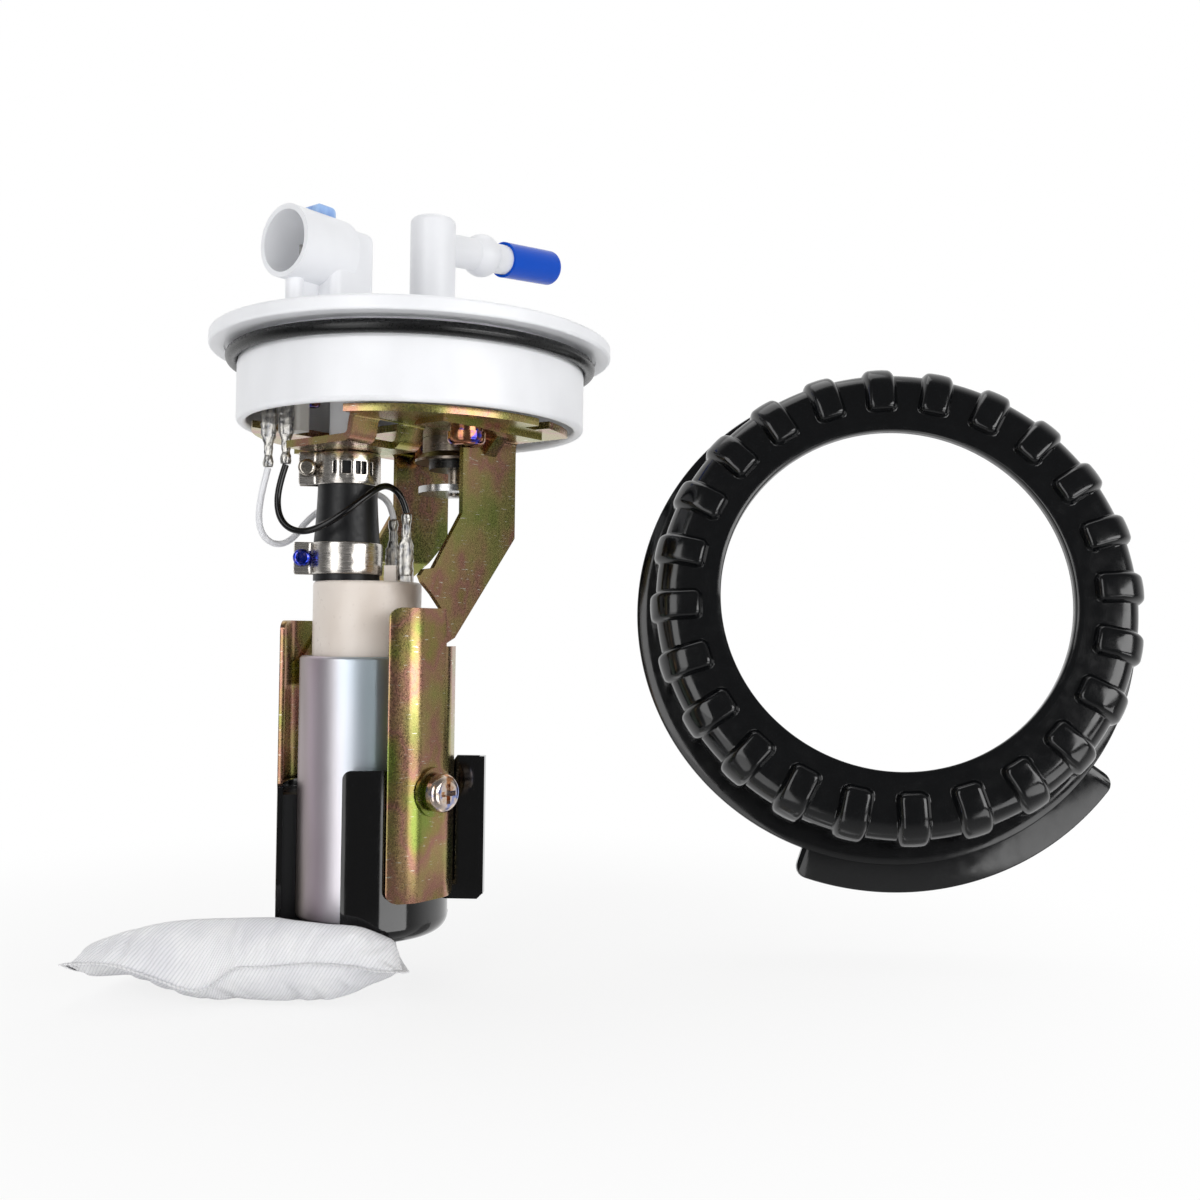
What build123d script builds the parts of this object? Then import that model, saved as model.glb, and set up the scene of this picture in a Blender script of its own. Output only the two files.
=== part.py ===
"""In-tank fuel pump module: flange, hanging bracket, pump, strainer and lock ring.

Millimetres, +Z up.  The origin is on the flange's axis, at the underside that seats
on the tank.  +X is the way the outlet nipple points, and the two holder screws lie
along Y.  Every piece is written to parts/NODE.step in its assembled place.
"""
from build123d import *
import math
import os

os.makedirs("parts", exist_ok=True)

# ---------------------------------------------------------------- general fits
RUN_GAP = 0.05          # radial running clearance of a shaft or a sliding valve
SLIP_GAP = 0.1          # radial clearance of a push-on piece
SHEET = 1.5             # bracket, leg, holder and cup sheet
HOLE_GAP = 0.45         # radial clearance of a screw in a sheet's hole

# ---------------------------------------------------------------- flange
FLANGE_R = 59.9
FLANGE_T = 4.0
NECK_R = 51.8           # outside of the skirt that drops into the tank opening
NECK_WALL = 3.0
NECK_DEPTH = 22.2
SEAL_LAND_R = 50.85     # top of the tapered land that carries the seal ring
SEAL_LAND_DEPTH = 5.2
SEAL_INNER_R = 51.4
SEAL_SECTION_R = 1.9
SEAL_DROP = 0.9         # flange to the top of the seal ring
SEAL_RECESS = 0.3       # shallow recess above the seal, inside the seat face

# outlet riser and nipple
RISER_X = 7.4
RISER_R = 7.0
RISER_TOP = 45.1
NIPPLE_Z = 36.45        # height where the nipple's axis leaves the riser's axis
NIPPLE_RISE = 7.0       # degrees above level
NIPPLE_ROOT_R = 5.0
BEAD_R = 6.8
BEAD_AT = 22.0          # along the nipple from the riser's axis to the bead's middle
BEAD_LENGTH = 9.0
SPIGOT_R = 4.75
SPIGOT_END = 55.0
NIPPLE_BORE_R = 3.0
TRANSIT_CAP_R = 5.75
TRANSIT_CAP_START = 32.5
TRANSIT_CAP_LENGTH = 24.5
TRANSIT_CAP_END_T = 1.6

# electrical connector
SOCKET_Z = 23.8
SOCKET_R = 10.1
SOCKET_BORE_R = 8.6
SOCKET_MOUTH_X = -49.5
SOCKET_BACK_X = -31.0
SOCKET_DEPTH = 17.0
CONN_BLOCK_X = (-38.1, -23.1)
CONN_BLOCK_HALF_Y = 8.0
CONN_BLOCK_TOP = 30.6
CONN_POST_X = -45.6
CONN_POST_R = 2.5
PIN_W = 2.8
PIN_T = 0.8
PIN_PITCH = 6.0
PIN_OUT = 9.0           # free length of a pin in the socket
LOCK_TAB = (7.0, 6.0, 2.2)

# ---------------------------------------------------------------- pump, hose
PUMP_X = -17.0
CAP_R = 15.6
CAP_TOP = -68.7
CAN_R = 19.0
CAN_WALL = 1.2
CAN_TOP = -90.2
CAN_BOTTOM = -164.5
HOSE_X, HOSE_Y = -20.0, 6.0
TUBE_R = 5.6
TUBE_BORE_R = 3.2
TUBE_END = -46.0
HOSE_TOP = -31.1
HOSE_BOTTOM = -68.4
HOSE_TOP_R = 8.6        # outside of the hose under the upper clamp
HOSE_BELLY_R = 9.3
HOSE_BELLY_Z = -54.0
HOSE_BOTTOM_R = 9.6     # outside of the hose under the lower clamp
OUTLET_TOP = -50.0      # top of the pump's own outlet nipple inside the hose
CLAMP_T = 0.8
UPPER_CLAMP_Z = (-40.6, -31.2)
LOWER_CLAMP_Z = (-66.6, -57.4)
EAR_TURN = 139.0        # degrees about the hose from +X to the clamps' ears
EAR_OUT = 4.6           # how far the ears stand out from the band
EAR_HALF_GAP = 3.2
CLAMP_SCREW_R = 1.4
CLAMP_HEAD_R = 2.5
CLAMP_HEAD_H = 1.8

# terminals and wires
WIRE_R = 0.95
LUG_GAP = 0.3           # between a wire's end and its crimp
LUG_LENGTH = 18.0
LUG_TURN = 35.0
LUG_GRIP = (2.2, 4.2)       # thickness and width of the part that grips the blade
LUG_SLOT = (0.84, 3.0)
LUG_SLOT_DEPTH = 8.0
CRIMP_R = 1.75
CRIMP_H = 4.2
CRIMP_NECK = (2.0, 2.4, 3.2)
BLADE = (0.8, 2.9)          # thickness and width of a blade terminal
BLOCK_X = (-33.8, -28.8)    # insulating block beside the upper terminals
BLOCK_Y = (12.5, 22.0)
BLOCK_BOTTOM = -25.0
BLOCK_FOOT_T = 2.0
BLOCK_SCREW = (-25.6, 16.0)
BLOCK_SCREW_Z = -15.0       # underside of the block's foot, where the screw head bears
WHITE_ROUTE = [(-38.6, 19.2, -36.2), (-39.5, 20.6, -42.6), (-39.4, 22.2, -49.5),
               (-38.2, 22.8, -54.2), (-34.8, 23.2, -57.3), (-30.2, 23.2, -57.8),
               (-26.0, 22.6, -55.4), (-22.6, 21.6, -50.4), (-18.4, 18.6, -45.8),
               (-12.6, 15.2, -42.6), (-8.6, 9.6, -41.0), (-7.0, 5.0, -42.2),
               (-6.5, 1.8, -45.8), (-6.4, 1.0, -49.4)]
BLACK_ROUTE = [(-36.2, 14.3, -35.4), (-38.0, 15.3, -42.0), (-38.6, 14.6, -49.4),
               (-37.6, 11.6, -53.8), (-35.6, 6.4, -55.2), (-33.2, 0.6, -53.2),
               (-29.8, -5.0, -49.2), (-24.5, -7.4, -44.4), (-19.1, -7.7, -40.9),
               (-14.7, -7.7, -41.2), (-11.3, -8.2, -44.1), (-10.3, -8.7, -48.3)]

# inside the pump
SHAFT_R = 1.6
CAN_INNER_R = CAN_R - CAN_WALL
CAN_LIP_R = 16.0        # hole left by the can's two rolled lips
INLET_T = 6.8
IMPELLER_R = 14.6
IMPELLER_T = 3.6
SIDE_GAP = 0.3          # axial play of the impeller in its chamber
CHAMBER_T = 7.0
VANES = 36
MAGNET_INNER_R = 14.2
MAGNET_Z = (-141.0, -103.0)
MAGNET_ARC = 130.0
CORE_R = 13.2
CORE_Z = (-138.0, -107.0)
CORE_SLOTS = 8
COIL_R = 11.6
COIL_OVERHANG = 3.0
COMM_R = 8.6
COMM_T = 3.2
COMM_TOP = -98.0        # face that the brushes press on
BUSH_R = 3.0
BRUSH_RADIAL = 3.8
BRUSH_WIDE = 4.6
BRUSH_TALL = 9.0
BRUSH_OFF = 5.8         # brush centre from the shaft
BRUSH_TURN = 35.0       # degrees from +X to the first brush
BRUSH_POCKET_TOP = -80.0
VALVE_SEAT_Z = -74.0    # seat of the outlet check valve in the end cap
VALVE_R = 2.7
VALVE_T = 2.4
INSERT_Z = (-62.0, -50.0)
RELIEF_PLACE = (-27.8, 1.9)
RELIEF_SEAT_Z = -86.0
SPRING_WIRE_R = 0.35

# ---------------------------------------------------------------- bracket
PLATE_R = NECK_R - NECK_WALL - 1.5
PLATE_T = 2.1
PLATE_BOTTOM = -24.2
WELL_X = (-48.5, -12.3)     # gap in the plate round the hose tube and terminals, open at the rim
WELL_Y = (-18.5, 24.0)
SHELF_Z = -31.0             # underside of the dropped shelf
SHELF_X = -38.5             # its edge on the -X side
SHELF_END_Y = 11.3
SHELF_TAIL_Y = 19.0
LEG_FRONT_Y = -26.5         # outside face of the front leg
LEG_FRONT_X = (-5.3, 17.4)
LEG_BACK_Y = 20.5           # inside face of the back leg
LEG_BACK_X = (13.0, 36.6)
LEG_FLANGE = 11.0
LEG_BEND = 2.2
LEG_BOTTOM = -100.0
LEG_LAP_X = (-20.5, -12.4)      # the end of each leg that is welded to its wing
BACK_JOG_Z = (-60.0, -70.0)     # where the back leg steps outwards
FRONT_NECK_Z = -48.7            # where the front leg's inner edge starts to slant
FRONT_SLANT_Z = -54.6           # and its outer one
# the hooked lower edge of the front leg, from its inner slant round the lap to the outer one
FRONT_LEG_EDGE = [(-16.5, -65.1), (-20.2, -65.6), (-21.7, -67.4), (-20.6, -69.3), (-16.9, -72.4),
                  (-12.9, -76.6), (LEG_LAP_X[0], -79.0), (LEG_LAP_X[0], -101.0), (LEG_LAP_X[1], -101.0),
                  (LEG_LAP_X[1], -86.8), (-7.7, -84.6)]
PLATE_SCREWS = [(-11.0, -33.0), (21.0, 14.0), (-2.0, 38.0)]     # the first also holds the front leg's foot
PLATE_SCREW_R = 1.95
PLATE_HEAD_R = 5.4
PLATE_HEAD_H = 3.8
PLATE_COLLAR_R = 4.6
PLATE_COLLAR_T = 1.2
PLATE_CUT_X = 26.0          # straight edge of the plate on its +X, -Y quarter
PLATE_NOTCH = (-85.5, -79.0)
PLATE_NOTCH_DEPTH = 5.0
SLOT_X = (-29.5, -20.5)     # slot in the shelf's bend
FOOT_X = -24.0              # end of the front leg's foot
WING_Y = 28.0               # outside face of each holder wing, from the pump's axis
WING_HALF_FLAT = 6.4
WING_LIP = 8.0
WING_LIP_ANGLE = 35.0
FRONT_WING_Z = (-157.2, -76.4)
BACK_WING_Z = (-164.0, -80.0)
FRONT_LIP_TOP = -87.0       # where the lip beside each leg starts
BACK_LIP_TOP = -99.5
FRONT_SCREW_Z = -127.4
BACK_SCREW_Z = -133.8
SCREW_R = 2.5
SCREW_HEAD_R = 5.3
SCREW_HEAD_H = 3.6
WASHER_R = 6.8
WASHER_T = 1.0
SPRING_WASHER_R = 4.6
SPRING_WASHER_T = 1.4

# regulator
REG_X, REG_Y = 10.0, -9.0
REG_R = 10.4
REG_LIP_R = 12.6
REG_LIP_Z = -31.2
REG_SEAL_R = 8.4
REG_DISC_R = 11.5
REG_DISC_Z = (-41.0, -39.0)
REG_TOP_Z = -10.0
REG_BORE_R = 8.4
REG_STEM_R = 2.5
REG_SEAL_Z = -33.7

# ---------------------------------------------------------------- cup, strainer
CUP_R = 24.6
CUP_BOTTOM = -169.0
CUP_RIM_Z = -164.4          # sill of the two windows
FRONT_WINDOW = 34.0         # half angle of the window that faces -X
REAR_WINDOW = 52.0          # half angle of the window that faces +X
CUP_CORNER = 4.5
TAB_CORNER = 2.5
FRONT_TAB_TOP = -121.0
BACK_TAB_TOP = -127.0
FIN_OUT_R = CUP_R + 10.7
FIN_Z = (-160.0, -118.6)
FIN_TURN = 54.0             # fins stand at plus and minus this angle from +X
LINER_BASE = 3.0
INLET_R = 6.0               # outside of the pump's inlet spout
INLET_BORE_R = 4.2
INLET_END = -172.0
SOCK_LONG = (-19.5, 73.5)   # reach of the strainer each way from the inlet, along its length
SOCK_WIDE = (-16.0, 36.0)   # and across it
SOCK_Z = (-183.0, -170.7)
SOCK_TURN = 125.7           # degrees from +X to the strainer's long axis
SOCK_ROLL_Z = (-180.5, -163.5)
SOCK_ROLL_WIDE = 10.2       # the part of its edge that swells up in front of the cup
SOCK_ROLL_LONG = (-11.0, 62.0)
SOCK_NECK_R = 8.0

# ---------------------------------------------------------------- lock ring
RING_BORE_R = 55.0
RING_WALL_R = 75.7
RING_TOP_T = 4.0
RING_BRIM_Z = (-31.0, -27.5)
RING_BRIM_R = 82.5
RING_TAB_Z = (-34.0, -29.5)
RING_TAB_R = 91.2
RING_TAB_ARC = 73.0
RING_TAB_TURN = -73.0       # degrees from the ring's level line to the tab's middle
RING_TAB_CORNER = 4.0
RING_SHOULDER = 7.0
RING_SKIN = 4.0
RING_THREAD_PITCH = 5.0
RING_THREADS = 3
RING_THREAD_TOP = -9.0
RING_THREAD_DEPTH = 2.0
LUGS = 24
LUG_OUT_R = RING_WALL_R + 1.6
LUG_IN_R = 60.8
LUG_RISE = 2.4
LUG_W = 9.4
LUG_CORNER = 3.0
LUG_ROUND = 1.5
LUG_PHASE = 92.9            # degrees from the ring's level line to its first lug
RING_CENTRE = (102.1, -111.6, -69.8)
RING_AXIS = (-0.819, -0.542, 0.186)


def save(shape, node):
    """Writes one node's shape to its STEP file."""
    export_step(shape, f"parts/{node}.step")


def tube(r_out, r_in, z0, z1, x=0.0, y=0.0):
    """An upright ring between two levels."""
    body = Cylinder(r_out, z1 - z0) - Cylinder(r_in, 2 * (z1 - z0))
    return Pos(x, y, (z0 + z1) / 2) * body


def rod(r, z0, z1, x=0.0, y=0.0):
    """An upright solid cylinder between two levels."""
    return Pos(x, y, (z0 + z1) / 2) * Cylinder(r, z1 - z0)


def block(x, y, z):
    """A box from three (low, high) pairs."""
    return Pos(sum(x) / 2, sum(y) / 2, sum(z) / 2) * Box(x[1] - x[0], y[1] - y[0], z[1] - z[0])


def turned(points, x=0.0, y=0.0):
    """A revolve about the upright line through x, y of an (r, z) outline."""
    outline = Polyline(*[(r, 0, z) for r, z in points], close=True)
    return Pos(x, y, 0) * revolve(make_face(outline), Axis.Z)


def sector(r, a0, a1, z0, z1, x=0.0, y=0.0):
    """An upright wedge of radius r from angle a0 to a1."""
    arc = CenterArc((0, 0), r, a0, a1 - a0)
    face = make_face([Line((0, 0), arc @ 0), arc, Line(arc @ 1, (0, 0))])
    return Pos(x, y, z0) * extrude(face, z1 - z0)


def polar(r, degrees, x=0.0, y=0.0):
    """The point at a radius and an angle about x, y."""
    return (x + r * math.cos(math.radians(degrees)), y + r * math.sin(math.radians(degrees)))


# ================================================================ flange
nipple_place = Location((RISER_X, 0, NIPPLE_Z), (0, 90 - NIPPLE_RISE, 0))


def along_nipple(r, a, b):
    """A cylinder on the nipple's axis from a to b, measured from the riser's axis."""
    return nipple_place * Pos(0, 0, (a + b) / 2) * Cylinder(r, b - a)


def make_flange():
    """The moulded flange with skirt, riser, nipple, connector and hose tube."""
    plate = fillet(Cylinder(FLANGE_R, FLANGE_T).edges(), 0.8)
    body = Pos(0, 0, FLANGE_T / 2) * plate
    neck_in = NECK_R - NECK_WALL
    recess = SEAL_INNER_R + 2 * SEAL_SECTION_R + SEAL_RECESS
    body -= tube(recess, neck_in, 0, SEAL_RECESS)
    skirt = turned([(neck_in, 1), (SEAL_LAND_R, 1), (SEAL_LAND_R, 0), (NECK_R, -SEAL_LAND_DEPTH),
                    (NECK_R, -NECK_DEPTH), (neck_in, -NECK_DEPTH)])
    low = skirt.edges().group_by(Axis.Z)[0]
    body += fillet(low, 1.4)

    riser = rod(RISER_R, FLANGE_T - 1, RISER_TOP, RISER_X)
    riser = fillet(riser.edges().group_by(Axis.Z)[-1], 1.8)
    root = along_nipple(NIPPLE_ROOT_R, 0, BEAD_AT)
    half = BEAD_LENGTH / 2
    swell = Spline((NIPPLE_ROOT_R, 0, -half), (BEAD_R, 0, 0), (SPIGOT_R, 0, half))
    bead = make_face([swell, Line(swell @ 1, (0, 0, half)), Line((0, 0, half), (0, 0, -half)),
                      Line((0, 0, -half), swell @ 0)])
    bead = nipple_place * Pos(0, 0, BEAD_AT) * revolve(bead, Axis.Z)
    spigot = along_nipple(SPIGOT_R, BEAD_AT, SPIGOT_END)
    body += [riser, root, bead, spigot]

    shell = Pos((SOCKET_MOUTH_X + SOCKET_BACK_X) / 2, 0, SOCKET_Z) * Rot(0, 90, 0)
    shell *= Cylinder(SOCKET_R, SOCKET_BACK_X - SOCKET_MOUTH_X)
    housing = block(CONN_BLOCK_X, (-CONN_BLOCK_HALF_Y, CONN_BLOCK_HALF_Y),
                    (FLANGE_T - 1, CONN_BLOCK_TOP))
    housing = fillet(housing.edges().filter_by(Axis.Z), 2.5)
    housing = fillet(housing.edges().group_by(Axis.Z)[-1], 2.4)
    post = rod(CONN_POST_R, FLANGE_T - 1, SOCKET_Z - SOCKET_R + 1.5, CONN_POST_X)
    web = block((CONN_POST_X, CONN_BLOCK_X[0] + 1), (-1.2, 1.2), (FLANGE_T - 1, SOCKET_Z - SOCKET_R + 1))
    body += [shell, housing, post, web]
    bore = Pos(SOCKET_MOUTH_X + SOCKET_DEPTH / 2, 0, SOCKET_Z) * Rot(0, 90, 0)
    body -= bore * Cylinder(SOCKET_BORE_R, SOCKET_DEPTH)

    channel = block((HOSE_X, RISER_X), (-6, 6 + HOSE_Y), (-13, 1))
    hose_boss = rod(TUBE_R + 2.4, -13, 1, HOSE_X, HOSE_Y)
    regulator_boss = rod(REG_R + 1.6, PLATE_BOTTOM + PLATE_T, 1, REG_X, REG_Y)
    body += [channel, hose_boss, regulator_boss]
    body += rod(TUBE_R, TUBE_END, 1, HOSE_X, HOSE_Y)
    body -= rod(TUBE_BORE_R, TUBE_END - 1, -5, HOSE_X, HOSE_Y)
    body -= Pos((HOSE_X + RISER_X) / 2, 0, -7) * Rot(0, 90, 0) * Cylinder(2.4, RISER_X - HOSE_X)
    body -= Pos(HOSE_X, HOSE_Y / 2, -7) * Rot(90, 0, 0) * Cylinder(2.4, HOSE_Y)
    body -= rod(2.4, -8, NIPPLE_Z, RISER_X)
    body -= along_nipple(NIPPLE_BORE_R, 0, SPIGOT_END + 1)
    body -= rod(REG_R + SLIP_GAP, PLATE_BOTTOM, -9.4, REG_X, REG_Y)
    body += rod(3.0, BLOCK_SCREW_Z + BLOCK_FOOT_T, 1, *BLOCK_SCREW)
    body -= rod(1.1, BLOCK_SCREW_Z, -4, *BLOCK_SCREW)
    for x, y in PLATE_SCREWS:
        body += rod(5.5, PLATE_BOTTOM + PLATE_T, 1, x, y)
        body -= rod(2.0, PLATE_BOTTOM, -6, x, y)
    return body


save(make_flange(), "flange")
seal = Torus(SEAL_INNER_R + SEAL_SECTION_R, SEAL_SECTION_R)
save(Pos(0, 0, -(SEAL_SECTION_R + SEAL_DROP)) * seal, "seal_ring")


def make_socket_pins():
    """Two blade pins that stand in the connector."""
    floor = SOCKET_MOUTH_X + SOCKET_DEPTH
    return Part() + [block((floor - PIN_OUT, floor), (y - PIN_T / 2, y + PIN_T / 2),
                           (SOCKET_Z - PIN_W / 2, SOCKET_Z + PIN_W / 2))
                     for y in (-PIN_PITCH / 2, PIN_PITCH / 2)]


def make_connector_lock():
    """The small position-assurance tab that rides on the socket's back."""
    length, width, rise = LOCK_TAB
    top = SOCKET_Z + SOCKET_R + rise
    tab = block((-41.0, -41.0 + length), (-width / 2, width / 2), (top - rise - 1.5, top))
    tab = fillet(tab.edges().filter_by(Axis.Y).group_by(Axis.Z)[-1], 1.4)
    barrel = Pos(-40, 0, SOCKET_Z) * Rot(0, 90, 0) * Cylinder(SOCKET_R, 40)
    return tab - barrel


def make_transit_cap():
    """The soft blue cap pushed over the spigot for transport."""
    cap = along_nipple(TRANSIT_CAP_R, TRANSIT_CAP_START, TRANSIT_CAP_START + TRANSIT_CAP_LENGTH)
    far = cap.edges().filter_by(GeomType.CIRCLE).sort_by(Axis.X)[-1]
    cap = fillet(far, 1.6)
    end = TRANSIT_CAP_START + TRANSIT_CAP_LENGTH - TRANSIT_CAP_END_T
    return cap - along_nipple(SPIGOT_R + SLIP_GAP, TRANSIT_CAP_START - 1, end)


# ================================================================ bracket
def bent_sheet(path, bends, x0, x1, thick=SHEET):
    """A bent strip: a (y, z) centreline, its bend radii, swept from x0 to x1."""
    line = FilletPolyline(*path, radius=bends) if bends else Polyline(*path)
    outline = Plane.YZ * trace(line, thick)
    return Pos(x0, 0, 0) * extrude(outline, x1 - x0)


def xz_prism(points, y0, y1):
    """A prism along Y of an (x, z) outline."""
    face = make_face(Polyline(*[(x, 0, z) for x, z in points], close=True))
    return Pos(0, y1, 0) * extrude(face, y1 - y0, dir=(0, -1, 0))


def make_mount_plate():
    """The round plate under the flange with the stepped shelf round the hose tube."""
    top = PLATE_BOTTOM + PLATE_T
    plate = rod(PLATE_R, PLATE_BOTTOM, top)
    plate -= block(WELL_X, WELL_Y, (PLATE_BOTTOM - 1, top + 1))
    plate -= rod(REG_R + 0.2, PLATE_BOTTOM - 1, top + 1, REG_X, REG_Y)
    for x, y in PLATE_SCREWS:
        plate -= rod(PLATE_SCREW_R + HOLE_GAP, PLATE_BOTTOM - 1, top + 1, x, y)
    plate -= block((PLATE_CUT_X, PLATE_R), (-PLATE_R, 0), (PLATE_BOTTOM - 1, top + 1))
    notch = sector(PLATE_R + 2, *PLATE_NOTCH, PLATE_BOTTOM - 1, top + 1)
    plate -= notch - rod(PLATE_R - PLATE_NOTCH_DEPTH, PLATE_BOTTOM - 2, top + 2)

    mid = PLATE_BOTTOM + PLATE_T / 2
    low = SHELF_Z + PLATE_T / 2
    near = WELL_Y[0]
    step = [(near - 1, mid), (near + 2, mid), (near + 3.4, low), (SHELF_END_Y, low)]
    shelf = bent_sheet(step, 2.4, SHELF_X, WELL_X[1], PLATE_T)
    shelf -= block(SLOT_X, (near + 0.8, near + 6), (SHELF_Z - 1, top))
    shelf += block((SLOT_X[0], WELL_X[1]), (SHELF_END_Y - 0.1, SHELF_TAIL_Y), (SHELF_Z, SHELF_Z + PLATE_T))
    shelf -= rod(TUBE_R + 0.5, SHELF_Z - 1, SHELF_Z + 4, HOSE_X, HOSE_Y)
    return plate + shelf


def make_front_leg():
    """The leg on the -Y side: outward foot, straight neck and slanted lower end."""
    mid = LEG_FRONT_Y + SHEET / 2
    foot = PLATE_BOTTOM - SHEET / 2
    path = [(mid - LEG_FLANGE, foot), (mid, foot), (mid, LEG_BOTTOM - 2)]
    sheet = bent_sheet(path, LEG_BEND, FOOT_X, LEG_FRONT_X[1] + 1)
    left, right = LEG_FRONT_X
    outline = [(FOOT_X, foot + SHEET), (FOOT_X, foot - SHEET / 2), (left, foot - SHEET / 2),
               (left, FRONT_NECK_Z), *FRONT_LEG_EDGE, (right, FRONT_SLANT_Z), (right, foot + SHEET)]
    leg = sheet & xz_prism(outline, -60, 0)
    leg -= rod(PLATE_SCREW_R + HOLE_GAP, foot - 2, foot + 2, *PLATE_SCREWS[0])
    rib = Plane.YZ * make_face(Polyline((LEG_FRONT_Y + 0.5, -31.5), (LEG_FRONT_Y + 0.5, PLATE_BOTTOM - 1),
                                        (LEG_FRONT_Y - 5.5, PLATE_BOTTOM - 1), close=True))
    rib = extrude(rib, 2.4, both=True)
    return leg + Pos(6.0, 0, 0) * rib


def make_back_leg():
    """The leg on the +Y side, stepped outwards past the pump to its holder wing."""
    mid = LEG_BACK_Y + SHEET / 2
    foot = PLATE_BOTTOM - SHEET / 2
    out = WING_Y - 1.5 * SHEET
    path = [(mid + LEG_FLANGE, foot), (mid, foot), (mid, BACK_JOG_Z[0]), (out, BACK_JOG_Z[1])]
    path.append((out, LEG_BOTTOM))
    left, right = LEG_BACK_X
    sheet = bent_sheet(path, LEG_BEND, LEG_LAP_X[0] - 0.5, right + 0.4)
    outline = [(left, foot + SHEET), (left, -43.5), (LEG_LAP_X[0], -92.0), (LEG_LAP_X[0], -99.0),
               (LEG_LAP_X[1], -99.0), (right, -52.0), (right, foot + SHEET)]
    leg = sheet & xz_prism(outline, 0, 60)
    return leg & rod(PLATE_R, -120, -10)


def make_wing(side, z_range, screw_z, lip_top):
    """A holder wing: flat web with two bent lips, the +X one cut short under the leg."""
    mid = WING_Y - SHEET / 2
    run = WING_LIP * math.cos(math.radians(WING_LIP_ANGLE))
    drop = WING_LIP * math.sin(math.radians(WING_LIP_ANGLE))
    path = [(-WING_HALF_FLAT - run, mid - drop), (-WING_HALF_FLAT, mid),
            (WING_HALF_FLAT, mid), (WING_HALF_FLAT + run, mid - drop)]
    path = [(PUMP_X + x, side * y) for x, y in path]
    web = trace(FilletPolyline(*path, radius=4.0), SHEET)
    wing = Pos(0, 0, z_range[0]) * extrude(web, z_range[1] - z_range[0])
    width = 2 * (WING_HALF_FLAT + run) + SHEET
    height = z_range[1] - z_range[0]
    sheet = Plane.XZ * RectangleRounded(width, height, 3.0)
    rounded = extrude(sheet, 40, both=True)
    wing &= Pos(PUMP_X, 0, sum(z_range) / 2) * rounded
    hole = Pos(PUMP_X, side * WING_Y, screw_z) * Rot(90, 0, 0) * Cylinder(SCREW_R + 0.2, 10)
    relief = block((PUMP_X + WING_HALF_FLAT - 1.8, PUMP_X + width), (-60, 60), (lip_top, z_range[1] + 1))
    return wing - hole - relief


def pan_head(r, h):
    """A pan head, base at z = 0, with a cross recess."""
    head = fillet(Cylinder(r, h, align=(Align.CENTER, Align.CENTER, Align.MIN)).edges().group_by(Axis.Z)[-1],
                  h * 0.55)
    for turn in (0, 90):
        head -= Rot(0, 0, turn) * Pos(0, 0, h) * Box(r * 1.05, r * 0.27, h * 0.95)
    return head


def side_place(side, y, z):
    """The place on a holder screw's axis, its z axis pointing outwards."""
    return Location((PUMP_X, side * y, z), (90 if side < 0 else -90, 0, 0))


SIDES = ((-1, FRONT_SCREW_Z), (1, BACK_SCREW_Z))
NUT_INNER_Y = 20.0
NUT_H = 3.0


def make_wing_screws():
    """The two screws that hold the cup between the wings."""
    base = WING_Y + WASHER_T + SPRING_WASHER_T
    screws = []
    for side, z in SIDES:
        shank = Pos(0, 0, (NUT_INNER_Y - base) / 2) * Cylinder(SCREW_R, base - NUT_INNER_Y)
        screws.append(side_place(side, base, z) * (pan_head(SCREW_HEAD_R, SCREW_HEAD_H) + shank))
    return Part() + screws


def ring_on_screw(r_out, r_in, y_mid, height):
    """One flat ring on each holder screw."""
    return Part() + [side_place(side, y_mid, z) * (Cylinder(r_out, height) - Cylinder(r_in, 2 * height))
                     for side, z in SIDES]


def make_wing_nuts():
    """Weld nuts inside the cup's wall."""
    nut = extrude(RegularPolygon(4.6, 6), NUT_H / 2, both=True) - Cylinder(SCREW_R + 0.03, 9)
    wall = Cylinder(CUP_R - SHEET, 200)
    return Part() + [side_place(side, NUT_INNER_Y + NUT_H / 2 + 0.2, z) * nut
                     & Pos(PUMP_X, 0, z) * wall for side, z in SIDES]


def make_plate_screws():
    """Three screws with long collars that hold the plate to the flange's bosses."""
    screws = []
    for n, (x, y) in enumerate(PLATE_SCREWS):
        seat = PLATE_BOTTOM - (SHEET if n == 0 else 0)
        head = Pos(0, 0, seat - PLATE_COLLAR_T) * Rot(180, 0, 0) * pan_head(PLATE_HEAD_R, PLATE_HEAD_H)
        screw = rod(PLATE_COLLAR_R, seat - PLATE_COLLAR_T, seat) + rod(PLATE_SCREW_R, seat - 1, -7.0)
        screws.append(Pos(x, y, 0) * (screw + head))
    return Part() + screws


save(make_socket_pins(), "socket_pins")
save(make_connector_lock(), "connector_lock")
save(make_transit_cap(), "transit_cap")
save(make_mount_plate(), "mount_plate")
save(make_front_leg(), "front_leg")
save(make_back_leg(), "back_leg")
save(make_wing(-1, FRONT_WING_Z, FRONT_SCREW_Z, FRONT_LIP_TOP), "front_wing")
save(make_wing(1, BACK_WING_Z, BACK_SCREW_Z, BACK_LIP_TOP), "back_wing")
save(make_wing_screws(), "wing_screws")
save(ring_on_screw(WASHER_R, SCREW_R + 0.15, WING_Y + WASHER_T / 2, WASHER_T), "wing_washers")
save(ring_on_screw(SPRING_WASHER_R, SCREW_R + 0.1, WING_Y + WASHER_T + SPRING_WASHER_T / 2,
                   SPRING_WASHER_T), "spring_washers")
save(make_wing_nuts(), "wing_nuts")
save(make_plate_screws(), "plate_screws")
terminal_screw = Rot(180, 0, 0) * pan_head(2.4, 2.0) + rod(1.1, 0, 9.0)
save(Pos(*BLOCK_SCREW, BLOCK_SCREW_Z) * terminal_screw, "terminal_screw")


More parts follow.
